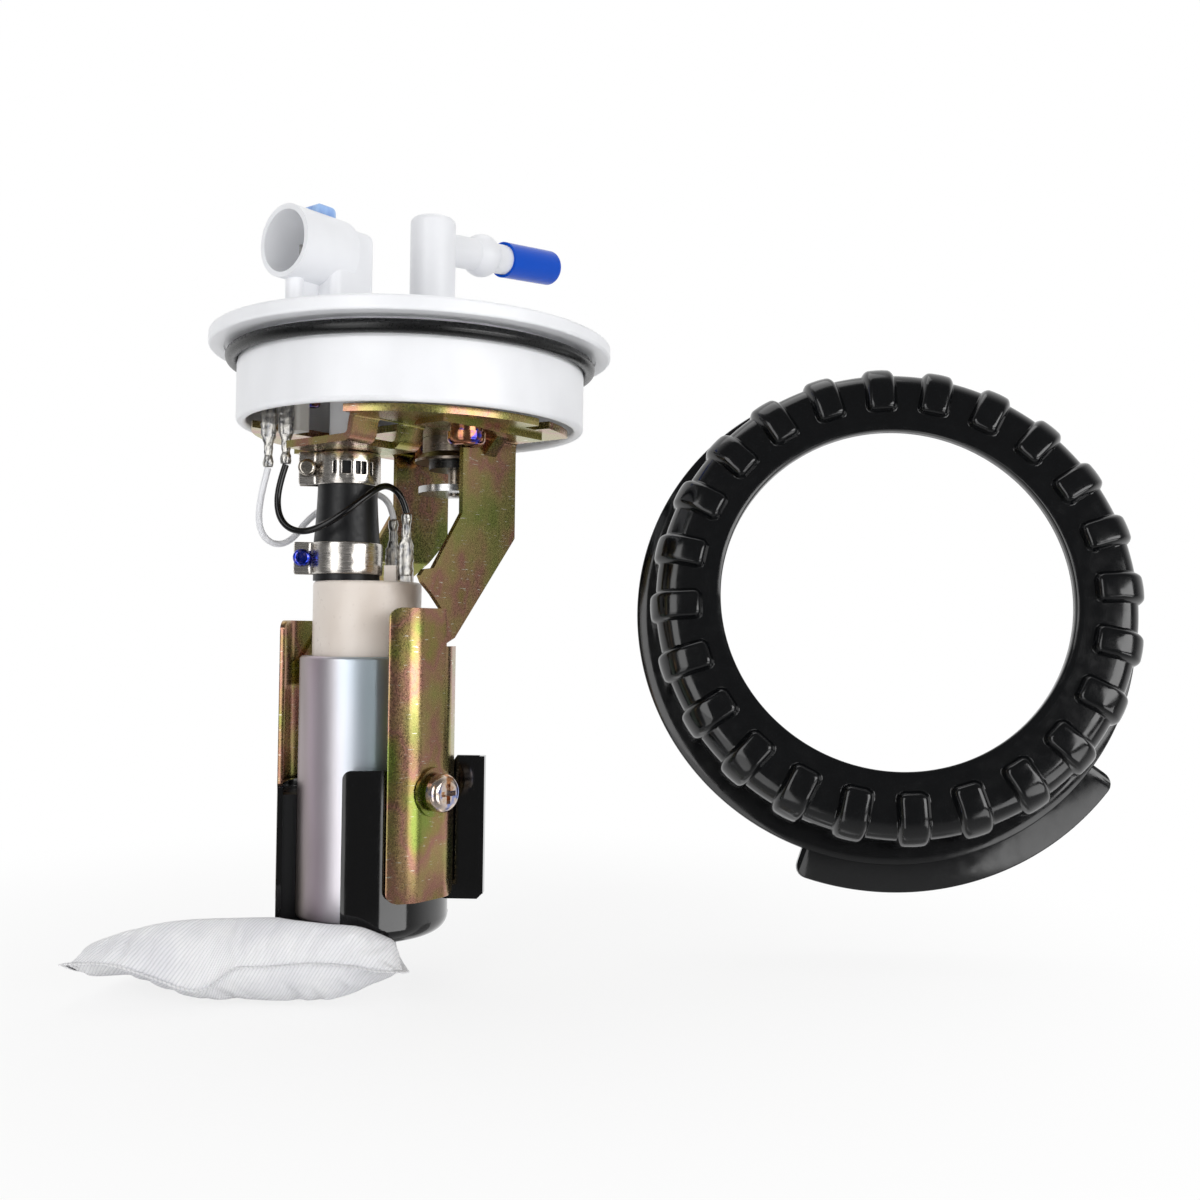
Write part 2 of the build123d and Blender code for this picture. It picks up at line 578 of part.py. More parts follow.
# ================================================================ regulator
def make_regulator_body():
    """The regulator's metal can: domed shoulder, flared lip and outlet stem."""
    skin = 1.0
    shell = turned([(1.5, REG_TOP_Z), (REG_R, REG_TOP_Z), (REG_R, REG_LIP_Z + 2.4),
                    (REG_LIP_R, REG_LIP_Z + 0.5), (REG_LIP_R, REG_LIP_Z - 0.3),
                    (REG_STEM_R - 1, REG_LIP_Z - 0.3), (REG_STEM_R - 1, REG_LIP_Z + 1.5),
                    (REG_BORE_R, REG_LIP_Z + 1.5),
                    (REG_BORE_R, REG_TOP_Z - skin), (1.5, REG_TOP_Z - skin)], REG_X, REG_Y)
    stem = tube(REG_STEM_R, REG_STEM_R - 1, REG_DISC_Z[0] - 0.6, REG_LIP_Z, REG_X, REG_Y)
    return shell + stem


def spring(mean_r, z0, z1, turns, x, y, wire_r=SPRING_WIRE_R):
    """A closed-up compression spring drawn as stacked rings on a thin sleeve."""
    pitch = (z1 - z0) / turns
    low = [Pos(x, y, z0 + (n + 0.5) * pitch) * Torus(mean_r, wire_r) for n in range(turns)]
    sleeve = tube(mean_r + wire_r * 0.5, mean_r - wire_r * 0.5, z0, z1, x, y)
    return sleeve + low


def valve_disc(r, z0, thick, x, y):
    """A flat valve head with a short guide stem above it."""
    head = rod(r, z0, z0 + thick * 0.5, x, y)
    return head + rod(r * 0.5, z0, z0 + thick, x, y)


REG_VALVE_Z = REG_TOP_Z - 1.0 - 3.0
save(make_regulator_body(), "regulator_body")
save(tube(REG_SEAL_R, REG_STEM_R + 0.02, REG_SEAL_Z, REG_LIP_Z - 0.3, REG_X, REG_Y), "regulator_seal")
save(tube(REG_DISC_R, REG_STEM_R + 0.02, *REG_DISC_Z, REG_X, REG_Y), "regulator_disc")
save(rod(REG_BORE_R - RUN_GAP, REG_VALVE_Z + 1.8, REG_VALVE_Z + 3.0, REG_X, REG_Y)
     + rod(3.0, REG_VALVE_Z, REG_VALVE_Z + 2, REG_X, REG_Y), "regulator_valve")
save(spring(5.4, REG_LIP_Z + 1.5, REG_VALVE_Z + 1.8, 7, REG_X, REG_Y, 0.7), "regulator_spring")


# ================================================================ hose, clamps
def make_hose():
    """The short rubber hose, a little bellied between its clamps."""
    side = Spline((HOSE_TOP_R, 0, UPPER_CLAMP_Z[0]), (HOSE_BELLY_R, 0, HOSE_BELLY_Z),
                  (HOSE_BOTTOM_R, 0, LOWER_CLAMP_Z[1]))
    inner = TUBE_R + 0.02
    rest = Polyline(side @ 1, (HOSE_BOTTOM_R, 0, HOSE_BOTTOM), (inner, 0, HOSE_BOTTOM),
                    (inner, 0, HOSE_TOP), (HOSE_TOP_R, 0, HOSE_TOP), side @ 0)
    return Pos(HOSE_X, HOSE_Y, 0) * revolve(make_face([side, rest]), Axis.Z)


ear_place = Pos(HOSE_X, HOSE_Y, 0) * Rot(0, 0, EAR_TURN)


def make_clamp(hose_r, z_range, slots):
    """A bolt clamp: band, two turned-out ears and, if asked, its row of slots."""
    inner = hose_r + 0.02
    outer = inner + CLAMP_T
    ear = EAR_HALF_GAP + CLAMP_T
    band = Circle(outer) - Circle(inner)
    band += Pos(outer - 2.2 + (EAR_OUT + 2.2) / 2, 0) * Rectangle(EAR_OUT + 2.2, 2 * ear)
    band -= Circle(inner)
    band -= Pos(outer + EAR_OUT / 2, 0) * Rectangle(EAR_OUT + 8, 2 * EAR_HALF_GAP)
    height = z_range[1] - z_range[0]
    clamp = Pos(0, 0, z_range[0]) * extrude(band, height)
    middle = sum(z_range) / 2
    clamp -= Pos(outer + EAR_OUT / 2, 0, middle) * Rot(90, 0, 0) * Cylinder(CLAMP_SCREW_R + 0.1, 20)
    for turn in slots:
        clamp -= Rot(0, 0, turn - EAR_TURN) * Pos(outer, 0, middle) * Box(6, 2.4, 3.4)
    return ear_place * clamp


def make_clamp_screws():
    """One small cross-head screw through each clamp's ears."""
    screws = []
    for hose_r, z_range in ((HOSE_TOP_R, UPPER_CLAMP_Z), (HOSE_BOTTOM_R, LOWER_CLAMP_Z)):
        x = hose_r + 0.02 + CLAMP_T + EAR_OUT / 2
        seat = EAR_HALF_GAP + CLAMP_T
        shank = Pos(0, 0, -seat - 1.2) * Cylinder(CLAMP_SCREW_R, 2 * seat + 2.4)
        nut = extrude(RegularPolygon(2.4, 6), 1.6) - Cylinder(CLAMP_SCREW_R - 0.2, 9)
        screw = pan_head(CLAMP_HEAD_R, CLAMP_HEAD_H) + shank + Pos(0, 0, -2 * seat - 1.6) * nut
        place = Pos(x, seat, sum(z_range) / 2) * Rot(-90, 0, 0)
        screws.append(ear_place * place * screw)
    return Part() + screws


save(make_hose(), "hose")
save(make_clamp(HOSE_TOP_R, UPPER_CLAMP_Z, (212.0, 237.0, 264.0)), "upper_clamp")
save(make_clamp(HOSE_BOTTOM_R, LOWER_CLAMP_Z, ()), "lower_clamp")
save(make_clamp_screws(), "clamp_screws")


# ================================================================ terminals, wires
def crimp_lug(tip, way):
    """A crimped blade receptacle; way is +1 when it rises from the crimp's end."""
    standing = (Align.CENTER, Align.CENTER, Align.MIN)
    barrel = Cylinder(CRIMP_R, CRIMP_H, align=standing)
    neck = Pos(0, 0, CRIMP_H) * Box(*CRIMP_NECK, align=standing)
    grip_at = CRIMP_H + CRIMP_NECK[2]
    grip = Box(*LUG_GRIP, LUG_LENGTH - grip_at, align=standing)
    grip = Pos(0, 0, grip_at) * fillet(grip.edges().filter_by(Axis.Z), 0.8)
    slot = Pos(0, 0, LUG_LENGTH - LUG_SLOT_DEPTH) * Box(*LUG_SLOT, 20, align=standing)
    lug = barrel + neck + grip - slot
    turn = Rot(0 if way > 0 else 180, 0, 0)
    return Pos(*tip) * Pos(0, 0, way * LUG_GAP) * Rot(0, 0, LUG_TURN) * turn * lug


def blade(x, y, z0, z1):
    """A flat blade terminal on the upright through x, y."""
    return Pos(x, y, (z0 + z1) / 2) * Rot(0, 0, LUG_TURN) * Box(*BLADE, z1 - z0)


def wire(route, name):
    """A wire along a route, each corner as round as its two runs allow."""
    points = [Vector(*p) for p in route]
    radii = []
    for before, here, after in zip(points, points[1:], points[2:]):
        turn = (here - before).get_angle(after - here)
        run = min((here - before).length, (after - here).length)
        radii.append(0.45 * run / math.tan(math.radians(turn / 2)))
    path = FilletPolyline(*points, radius=radii)
    face = Plane(origin=points[0], z_dir=path % 0) * Circle(WIRE_R)
    body = sweep(face, path=path)
    print(name, "radii", [round(r, 1) for r in radii],
          "volume ratio", round(body.volume / (math.pi * WIRE_R ** 2 * path.length), 4))
    return body


def make_terminal_block():
    """The white insulating block screwed up beside the two upper blades."""
    body = block(BLOCK_X, BLOCK_Y, (BLOCK_BOTTOM, 0.0))
    body = fillet(body.edges().filter_by(Axis.Z), 1.2)
    foot = block((BLOCK_X[1] - 1, BLOCK_SCREW[0] + 3), (BLOCK_SCREW[1] - 3, BLOCK_SCREW[1] + 3),
                 (BLOCK_SCREW_Z, BLOCK_SCREW_Z + BLOCK_FOOT_T))
    return body + foot - rod(1.4, BLOCK_SCREW_Z - 1, 0, *BLOCK_SCREW)


save(make_terminal_block(), "terminal_block")
save(Part() + [crimp_lug(route[0], 1) for route in (WHITE_ROUTE, BLACK_ROUTE)], "upper_lugs")
save(Part() + [crimp_lug(route[-1], -1) for route in (WHITE_ROUTE, BLACK_ROUTE)], "lower_lugs")
save(wire(WHITE_ROUTE, "white"), "wire_white")
save(wire(BLACK_ROUTE, "black"), "wire_black")


# ================================================================ pump
def make_pump_can():
    """The plated can, its two ends rolled over the covers."""
    lip = CAN_WALL
    can = turned([(CAN_LIP_R, CAN_BOTTOM), (CAN_R, CAN_BOTTOM), (CAN_R, CAN_TOP), (CAN_LIP_R, CAN_TOP),
                  (CAN_LIP_R, CAN_TOP - lip), (CAN_INNER_R, CAN_TOP - lip),
                  (CAN_INNER_R, CAN_BOTTOM + lip), (CAN_LIP_R, CAN_BOTTOM + lip)], PUMP_X)
    return fillet(can.edges().filter_by(GeomType.CIRCLE).filter_by(lambda e: e.radius == CAN_R), 1.0)


def brush_place(n):
    """The middle of a brush's slot on the pump's axis; n is 0 or 1."""
    turn = BRUSH_TURN + 180 * n
    x, y = polar(BRUSH_OFF, turn, PUMP_X)
    return Pos(x, y, 0) * Rot(0, 0, turn)


def make_end_cap():
    """The plastic end cap with its outlet nipple, brush pockets and valve bores."""
    fit = CAN_INNER_R - RUN_GAP
    shoulder = CAN_TOP - CAN_WALL
    cap = turned([(0, COMM_TOP + 0.6), (10.2, COMM_TOP + 0.6), (10.2, MAGNET_Z[1] + 0.4),
                  (fit, MAGNET_Z[1] + 0.4), (fit, shoulder), (CAP_R, shoulder), (CAP_R, CAP_TOP),
                  (0, CAP_TOP)], PUMP_X)
    cap = fillet(cap.edges().filter_by(GeomType.CIRCLE).group_by(Axis.Z)[-1], 1.0)
    cap += rod(TUBE_R, CAP_TOP - 1, OUTLET_TOP, HOSE_X, HOSE_Y)
    for route, side in ((WHITE_ROUTE, -1), (BLACK_ROUTE, 1)):
        foot = Pos(route[-1][0], route[-1][1], CAP_TOP) * Rot(0, 0, LUG_TURN)
        cap += foot * Pos(0, side * 4.3, 2) * Box(3.0, 3.6, 6.0)
        cap -= foot * Box(0.84, 3.0, 8.1)
    cap -= rod(TUBE_BORE_R, VALVE_SEAT_Z, OUTLET_TOP + 1, HOSE_X, HOSE_Y)
    cap -= rod(VALVE_R - 1.0, COMM_TOP, VALVE_SEAT_Z + 1, HOSE_X, HOSE_Y)
    cap -= rod(VALVE_R + 0.4, RELIEF_SEAT_Z, CAP_TOP - 3, *RELIEF_PLACE)
    cap -= rod(1.4, COMM_TOP - 6, CAP_TOP + 1, *RELIEF_PLACE)
    cap -= rod(BUSH_R, COMM_TOP, COMM_TOP + 6, PUMP_X)
    cap -= rod(SHAFT_R + 0.4, COMM_TOP, COMM_TOP + 8, PUMP_X)
    for n in (0, 1):
        height = BRUSH_POCKET_TOP - COMM_TOP
        pocket = Box(BRUSH_RADIAL + 2 * SLIP_GAP, BRUSH_WIDE + 2 * SLIP_GAP, height + 2)
        cap -= brush_place(n) * Pos(0, 0, COMM_TOP + height / 2 - 1) * pocket
    return cap


def make_brush(n):
    """One carbon brush that stands on the commutator."""
    brush = Box(BRUSH_RADIAL, BRUSH_WIDE, BRUSH_TALL)
    brush = chamfer(brush.edges().filter_by(Axis.Z), 0.3)
    return brush_place(n) * Pos(0, 0, COMM_TOP + BRUSH_TALL / 2) * brush


def make_impeller():
    """The impeller: a disc with a row of vane slots through its rim."""
    disc = tube(IMPELLER_R, SHAFT_R, IMPELLER_Z, IMPELLER_Z + IMPELLER_T, PUMP_X)
    slot = Box(2.6, 1.3, 2 * IMPELLER_T)
    slots = [Rot(0, 0, n * 360 / VANES) * Pos(IMPELLER_R - 1.9, 0, 0) * slot for n in range(VANES)]
    return disc - Pos(PUMP_X, 0, IMPELLER_Z + IMPELLER_T / 2) * (Part() + slots)


def make_inlet_cover():
    """The lower pump cover with its side channel and the inlet spout."""
    low = CAN_BOTTOM + CAN_WALL
    top = low + INLET_T
    cover = turned([(0, CAN_BOTTOM), (CAN_LIP_R - RUN_GAP, CAN_BOTTOM), (CAN_LIP_R - RUN_GAP, low),
                    (CAN_INNER_R - RUN_GAP, low), (CAN_INNER_R - RUN_GAP, top), (0, top)], PUMP_X)
    cover += rod(INLET_R, INLET_END, CAN_BOTTOM + 1, PUMP_X)
    cover -= rod(INLET_BORE_R, INLET_END - 1, CAN_BOTTOM + 3, PUMP_X)
    port = Pos(PUMP_X, 0, (CAN_BOTTOM + 1 + top) / 2) * Rot(0, 0, 200) * Pos(7.6, 0, 0)
    cover -= port * Box(14.0, 3.2, 3.0)
    cover -= Pos(PUMP_X, 0, top) * Rot(0, 0, 200) * Pos(IMPELLER_R - 2, 0, 0) * Cylinder(1.6, 9)
    cover -= Pos(PUMP_X, 0, top) * Torus(IMPELLER_R - 2, 1.3)
    return cover - rod(SHAFT_R + 0.3, top - 2, top + 1, PUMP_X)


def make_chamber_cover():
    """The upper pump cover, cupped round the impeller."""
    low = IMPELLER_Z - SIDE_GAP
    roof = IMPELLER_Z + IMPELLER_T + SIDE_GAP
    cover = turned([(SHAFT_R + 0.3, roof), (IMPELLER_R + SIDE_GAP, roof), (IMPELLER_R + SIDE_GAP, low),
                    (CAN_INNER_R - RUN_GAP, low), (CAN_INNER_R - RUN_GAP, roof + CHAMBER_T),
                    (SHAFT_R + 0.3, roof + CHAMBER_T)], PUMP_X)
    cover -= Pos(PUMP_X, 0, roof) * Torus(IMPELLER_R - 2, 1.3)
    cover -= Pos(PUMP_X, 0, roof + 3) * Rot(0, 0, 160) * Pos(IMPELLER_R - 2, 0, 0) * Cylinder(1.6, 12)
    return cover - rod(BUSH_R, roof + CHAMBER_T - 5, roof + CHAMBER_T + 1, PUMP_X)


def make_core():
    """The laminated core with a ring of winding slots."""
    core = tube(CORE_R, SHAFT_R, *CORE_Z, PUMP_X)
    height = CORE_Z[1] - CORE_Z[0]
    slot = Pos(CORE_R - 2.6, 0, 0) * Box(5.4, 3.4, 2 * height)
    slot += Pos(CORE_R - 0.6, 0, 0) * Box(4, 1.2, 2 * height)
    slots = [Rot(0, 0, n * 360 / CORE_SLOTS) * slot for n in range(CORE_SLOTS)]
    return core - Pos(PUMP_X, 0, sum(CORE_Z) / 2) * (Part() + slots)


def make_windings():
    """Copper bars through the core's slots, joined by a bundle at each end."""
    height = CORE_Z[1] - CORE_Z[0]
    bar = Pos(CORE_R - 3.6, 0, 0) * Box(3.0, 3.0, height + 2)
    bars = [Rot(0, 0, n * 360 / CORE_SLOTS) * bar for n in range(CORE_SLOTS)]
    body = Pos(PUMP_X, 0, sum(CORE_Z) / 2) * (Part() + bars)
    for z in (CORE_Z[0] - COIL_OVERHANG, CORE_Z[1]):
        bundle = tube(COIL_R, 4.2, z, z + COIL_OVERHANG, PUMP_X)
        body += fillet(bundle.edges(), 0.9)
    return body


def make_commutator():
    """The face commutator, cut into as many bars as the core has slots."""
    disc = tube(COMM_R, SHAFT_R, COMM_TOP - COMM_T, COMM_TOP, PUMP_X)
    cut = Pos(COMM_R / 2 + 1.2, 0, 0) * Box(COMM_R, 0.4, 1.6)
    cuts = [Rot(0, 0, (n + 0.5) * 360 / CORE_SLOTS) * cut for n in range(CORE_SLOTS)]
    return disc - Pos(PUMP_X, 0, COMM_TOP) * (Part() + cuts)


IMPELLER_Z = CAN_BOTTOM + CAN_WALL + INLET_T + SIDE_GAP
CHAMBER_TOP = IMPELLER_Z + IMPELLER_T + SIDE_GAP + CHAMBER_T
SHAFT_Z = (IMPELLER_Z - 1.5, COMM_TOP + 5.5)

blade_top = CAP_TOP + 8.0
blades = [blade(r[-1][0], r[-1][1], CAP_TOP - 4.0, blade_top) for r in (WHITE_ROUTE, BLACK_ROUTE)]
upper_blades = [blade(r[0][0], r[0][1], r[0][2] + LUG_LENGTH - 7.0, 0.0) for r in (WHITE_ROUTE, BLACK_ROUTE)]
save(make_pump_can(), "pump_can")
save(make_end_cap(), "end_cap")
save(Part() + blades, "pump_blades")
save(Part() + upper_blades, "upper_blades")
save(make_inlet_cover(), "inlet_cover")
save(make_chamber_cover(), "chamber_cover")
save(make_impeller(), "impeller")
save(make_core(), "armature_core")
save(make_windings(), "windings")
save(make_commutator(), "commutator")
save(rod(SHAFT_R, *SHAFT_Z, PUMP_X), "shaft")
save(Part() + [tube(BUSH_R, SHAFT_R + RUN_GAP, z, z + 5.0, PUMP_X)
               for z in (CHAMBER_TOP - 5.0, COMM_TOP + 1.0)], "bearings")
save(Part() + [Rot(0, 0, 0) * (tube(CAN_INNER_R - RUN_GAP, MAGNET_INNER_R, *MAGNET_Z, PUMP_X)
                              & sector(CAN_R, a - MAGNET_ARC / 2, a + MAGNET_ARC / 2, *MAGNET_Z, PUMP_X))
               for a in (0, 180)], "magnets")
for n, name in enumerate("ab"):
    save(make_brush(n), f"brush_{name}")
    x, y = polar(BRUSH_OFF, BRUSH_TURN + 180 * n, PUMP_X)
    save(spring(1.4, COMM_TOP + BRUSH_TALL, BRUSH_POCKET_TOP, 5, x, y), f"brush_spring_{name}")
save(tube(TUBE_BORE_R, 1.8, *INSERT_Z, HOSE_X, HOSE_Y), "outlet_insert")
save(valve_disc(VALVE_R, VALVE_SEAT_Z, VALVE_T, HOSE_X, HOSE_Y), "check_valve")
save(spring(1.9, VALVE_SEAT_Z + VALVE_T / 2, INSERT_Z[0], 6, HOSE_X, HOSE_Y), "check_spring")
save(valve_disc(VALVE_R, RELIEF_SEAT_Z, VALVE_T, *RELIEF_PLACE), "relief_valve")
save(spring(1.9, RELIEF_SEAT_Z + VALVE_T / 2, CAP_TOP - 3, 7, *RELIEF_PLACE), "relief_spring")


# ================================================================ cup, strainer
def make_cup():
    """The coated steel cup: two windows, two tabs, two fins and two spacer bosses."""
    outer = rod(CUP_R, CUP_BOTTOM, FRONT_TAB_TOP, PUMP_X)
    outer = fillet(outer.edges().group_by(Axis.Z)[0], CUP_CORNER)
    cavity = rod(CUP_R - SHEET, CUP_BOTTOM + SHEET, FRONT_TAB_TOP + 1, PUMP_X)
    cavity = fillet(cavity.edges().group_by(Axis.Z)[0], CUP_CORNER - SHEET)
    cup = outer - cavity
    top = FRONT_TAB_TOP + 1
    cup -= sector(40, 180 - FRONT_WINDOW, 180 + FRONT_WINDOW, CUP_RIM_Z, top, PUMP_X)
    cup -= sector(40, -REAR_WINDOW, REAR_WINDOW, CUP_RIM_Z, top, PUMP_X)
    cup -= sector(40, 0, 180, BACK_TAB_TOP, top, PUMP_X)
    for side, z in SIDES:
        boss = Cylinder(5.0, WING_Y - SHEET - CUP_R + SHEET, align=(Align.CENTER, Align.CENTER, Align.MAX))
        cup += side_place(side, WING_Y - SHEET, z) * boss - Pos(PUMP_X, 0, z) * Cylinder(CUP_R - SHEET, 20)
        cup -= side_place(side, CUP_R, z) * Cylinder(SCREW_R + 0.2, 12)
    cup -= rod(INLET_R + 0.3, CUP_BOTTOM - 1, CUP_BOTTOM + SHEET + 1, PUMP_X)
    corners = [edge for edge in cup.edges() if abs(edge.length - SHEET) < 0.05
               and min(abs(edge.center().Z - top) for top in (FRONT_TAB_TOP, BACK_TAB_TOP)) < 0.1]
    cup = fillet(corners, TAB_CORNER)
    root = CUP_R - 1.0
    fin = make_face(Polyline((root, 0, FIN_Z[0]), (FIN_OUT_R - 2, 0, FIN_Z[0]),
                             (FIN_OUT_R, 0, FIN_Z[0] + 2), (FIN_OUT_R, 0, FIN_Z[1]),
                             (CUP_R + 2.5, 0, FIN_Z[1]), (root, 0, FIN_Z[1] - 5), close=True))
    lip = block((FIN_OUT_R - SHEET, FIN_OUT_R), (-3.2, 0), (FIN_Z[0] + 2, FIN_Z[1]))
    for side in (-1, 1):
        one = extrude(fin, SHEET / 2, both=True) + (lip if side < 0 else mirror(lip, Plane.XZ))
        cup += Pos(PUMP_X, 0, 0) * Rot(0, 0, side * FIN_TURN) * one
    return cup


def make_cup_liner():
    """The rubber liner between the cup and the pump: a base and two side pads."""
    body = rod(CUP_R - SHEET - RUN_GAP, CUP_BOTTOM + SHEET, FRONT_TAB_TOP - 3, PUMP_X)
    body = fillet(body.edges().group_by(Axis.Z)[0], CUP_CORNER - SHEET + RUN_GAP)
    body -= rod(CAN_R + SLIP_GAP, CAN_BOTTOM, FRONT_TAB_TOP + 1, PUMP_X)
    top = FRONT_TAB_TOP + 1
    body -= sector(40, 180 - FRONT_WINDOW - 2, 180 + FRONT_WINDOW + 2, CUP_RIM_Z - 1, top, PUMP_X)
    body -= sector(40, -REAR_WINDOW - 2, REAR_WINDOW + 2, CUP_RIM_Z - 1, top, PUMP_X)
    body -= sector(40, 0, 180, BACK_TAB_TOP - 3, top, PUMP_X)
    for side, z in SIDES:
        body -= side_place(side, CUP_R, z) * Cylinder(5.6, 12)
    return body - rod(INLET_R + 0.1, CUP_BOTTOM, CAN_BOTTOM + 1, PUMP_X)


def make_sock():
    """The soft strainer bag: a flat pillow, with the roll that swells up beside the cup."""
    height = SOCK_Z[1] - SOCK_Z[0]
    bag = block(SOCK_LONG, SOCK_WIDE, SOCK_Z)
    bag = fillet(bag.edges().filter_by(Axis.Z), 9.0)
    bag = fillet(bag.faces().filter_by(Axis.Z).edges(), height * 0.42)
    roll = block(SOCK_ROLL_LONG, (SOCK_WIDE[1] - SOCK_ROLL_WIDE, SOCK_WIDE[1]), SOCK_ROLL_Z)
    roll = fillet(roll.edges(), SOCK_ROLL_WIDE * 0.42)
    bag = Pos(PUMP_X, 0, 0) * Rot(0, 0, SOCK_TURN) * (bag + roll)
    return bag - rod(SOCK_NECK_R + 0.3, INLET_END - 3.3, CUP_BOTTOM, PUMP_X)


save(make_cup(), "cup")
save(make_cup_liner(), "cup_liner")
save(make_sock(), "sock")
save(tube(SOCK_NECK_R, INLET_R + 0.02, INLET_END - 3.0, CUP_BOTTOM - 1.4, PUMP_X), "sock_neck")
save(tube(SOCK_NECK_R + 2.6, INLET_R + 0.02, CUP_BOTTOM - 1.3, CUP_BOTTOM, PUMP_X), "sock_clip")


# ================================================================ lock ring
def make_lug(inner):
    """One lug on +X: a rounded block that follows the shoulder down the wall."""
    low = RING_BRIM_Z[1] - 1
    shape = turned([(LUG_IN_R - 2, LUG_RISE), (LUG_OUT_R, LUG_RISE), (LUG_OUT_R, low), (LUG_IN_R - 2, low)])
    rim = shape.edges().filter_by(GeomType.CIRCLE).group_by(Axis.Z)[-1].sort_by(SortBy.LENGTH)[-1]
    shape = fillet(rim, RING_SHOULDER + LUG_RISE / 2)
    plan = block((LUG_IN_R, LUG_OUT_R + 5), (-LUG_W / 2, LUG_W / 2), (low, LUG_RISE))
    ends = plan.edges().filter_by(Axis.Z).group_by(Axis.X)[0]
    lug = fillet(ends, LUG_CORNER) & shape

    def on_rim(edge):
        middle = edge.position_at(0.5)
        upright = abs(edge.tangent_at(0.5).Z) > 0.99
        side = abs(abs(middle.Y) - LUG_W / 2) < 0.01
        if upright:
            return side and middle.X > LUG_OUT_R - 1
        return middle.Z > low + 1 and (side or middle.X < LUG_IN_R + LUG_CORNER)

    lug = fillet(lug.edges().filter_by(on_rim), LUG_ROUND)
    return lug - rod(inner + 1, low - 1, -1)


def make_lock_ring():
    """The big moulded lock ring, drawn on its own axis with its top face at z = 0."""
    low = RING_BRIM_Z[0]
    inner = RING_WALL_R - RING_SKIN
    ring = turned([(RING_BORE_R, 0), (RING_WALL_R, 0), (RING_WALL_R, RING_BRIM_Z[1]),
                   (RING_BRIM_R, RING_BRIM_Z[1]), (RING_BRIM_R, low), (inner, low),
                   (inner, -RING_TOP_T), (RING_BORE_R, -RING_TOP_T)])
    shoulder = ring.edges().filter_by(GeomType.CIRCLE).group_by(Axis.Z)[-1].sort_by(SortBy.LENGTH)[-1]
    ring = fillet(shoulder, RING_SHOULDER)
    for n in range(RING_THREADS):
        z = RING_THREAD_TOP - n * RING_THREAD_PITCH
        root, crest = inner + 0.5, inner - RING_THREAD_DEPTH
        ring += turned([(root, z - 1.6), (crest, z - 0.4), (crest, z + 0.4), (root, z + 1.6)])

    lug = make_lug(inner)
    ring += [Rot(0, 0, LUG_PHASE + n * 360 / LUGS) * lug for n in range(LUGS)]

    tab = sector(RING_TAB_R, RING_TAB_TURN - RING_TAB_ARC / 2, RING_TAB_TURN + RING_TAB_ARC / 2, *RING_TAB_Z)
    tab = fillet(tab.edges().filter_by(Axis.Z).sort_by(Axis.Y)[0:2], RING_TAB_CORNER)
    tab -= rod(inner, RING_TAB_Z[0] - 1, RING_TAB_Z[1] + 1)
    ring += tab
    up = Vector(*RING_AXIS)
    across = Vector(0, 0, 1).cross(up)
    return Plane(origin=RING_CENTRE, x_dir=across, z_dir=up) * ring


save(make_lock_ring(), "lock_ring")
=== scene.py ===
"""Scene of an in-tank fuel pump module.

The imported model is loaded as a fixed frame.  Each finish of the real module is a small
material class, each sub-assembly is a class that builds and dresses its own pieces, and a
studio class sets the floor, the light and the camera.  Lengths in the classes are in
millimetres, and are turned to metres where a mesh is made.
"""
import logging
import math
from dataclasses import dataclass
from enum import Enum
from typing import Any, ClassVar, Sequence

import bpy
import bmesh
from mathutils import Matrix, Vector, noise


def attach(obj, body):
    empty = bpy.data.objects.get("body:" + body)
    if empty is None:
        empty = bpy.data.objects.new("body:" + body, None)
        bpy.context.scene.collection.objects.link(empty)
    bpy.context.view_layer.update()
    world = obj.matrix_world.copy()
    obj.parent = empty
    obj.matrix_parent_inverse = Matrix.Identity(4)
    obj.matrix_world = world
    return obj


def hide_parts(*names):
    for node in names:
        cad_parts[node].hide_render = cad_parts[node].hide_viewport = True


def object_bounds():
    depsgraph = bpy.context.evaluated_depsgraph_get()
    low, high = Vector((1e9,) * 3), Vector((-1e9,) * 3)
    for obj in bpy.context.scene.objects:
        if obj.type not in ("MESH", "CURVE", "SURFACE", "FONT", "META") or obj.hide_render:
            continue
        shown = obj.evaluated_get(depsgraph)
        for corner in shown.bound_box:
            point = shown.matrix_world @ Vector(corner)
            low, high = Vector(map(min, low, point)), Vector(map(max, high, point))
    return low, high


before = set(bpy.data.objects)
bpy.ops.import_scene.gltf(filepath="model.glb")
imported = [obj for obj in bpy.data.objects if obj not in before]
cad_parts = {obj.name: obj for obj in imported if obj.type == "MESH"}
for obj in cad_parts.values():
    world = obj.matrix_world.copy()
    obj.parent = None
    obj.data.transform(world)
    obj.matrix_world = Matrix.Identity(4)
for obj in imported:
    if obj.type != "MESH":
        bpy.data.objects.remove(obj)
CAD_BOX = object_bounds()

LOG = logging.getLogger("fuel_pump_module")
MM = 0.001
Point = tuple[float, float, float]
Span = tuple[float, float]
Stops = tuple[tuple[float, str], ...]
Curve = Sequence[tuple[float, float]]
Tree = bpy.types.NodeTree
Node = bpy.types.Node
Socket = bpy.types.NodeSocket
Piece = bpy.types.Object
Shape = bmesh.types.BMesh
Vert = bmesh.types.BMVert


# ---------------------------------------------------------------- small tools
def linear(code: str) -> tuple[float, float, float, float]:
    """Turns an sRGB hex value into a linear colour.

    Args:
        code: Colour such as "#1F3A8C".

    Returns:
        Linear red, green, blue and an alpha of 1.
    """
    parts = [int(code[i:i + 2], 16) / 255 for i in (1, 3, 5)]
    red, green, blue = [c / 12.92 if c <= 0.04045 else ((c + 0.055) / 1.055) ** 2.4 for c in parts]
    return (red, green, blue, 1.0)


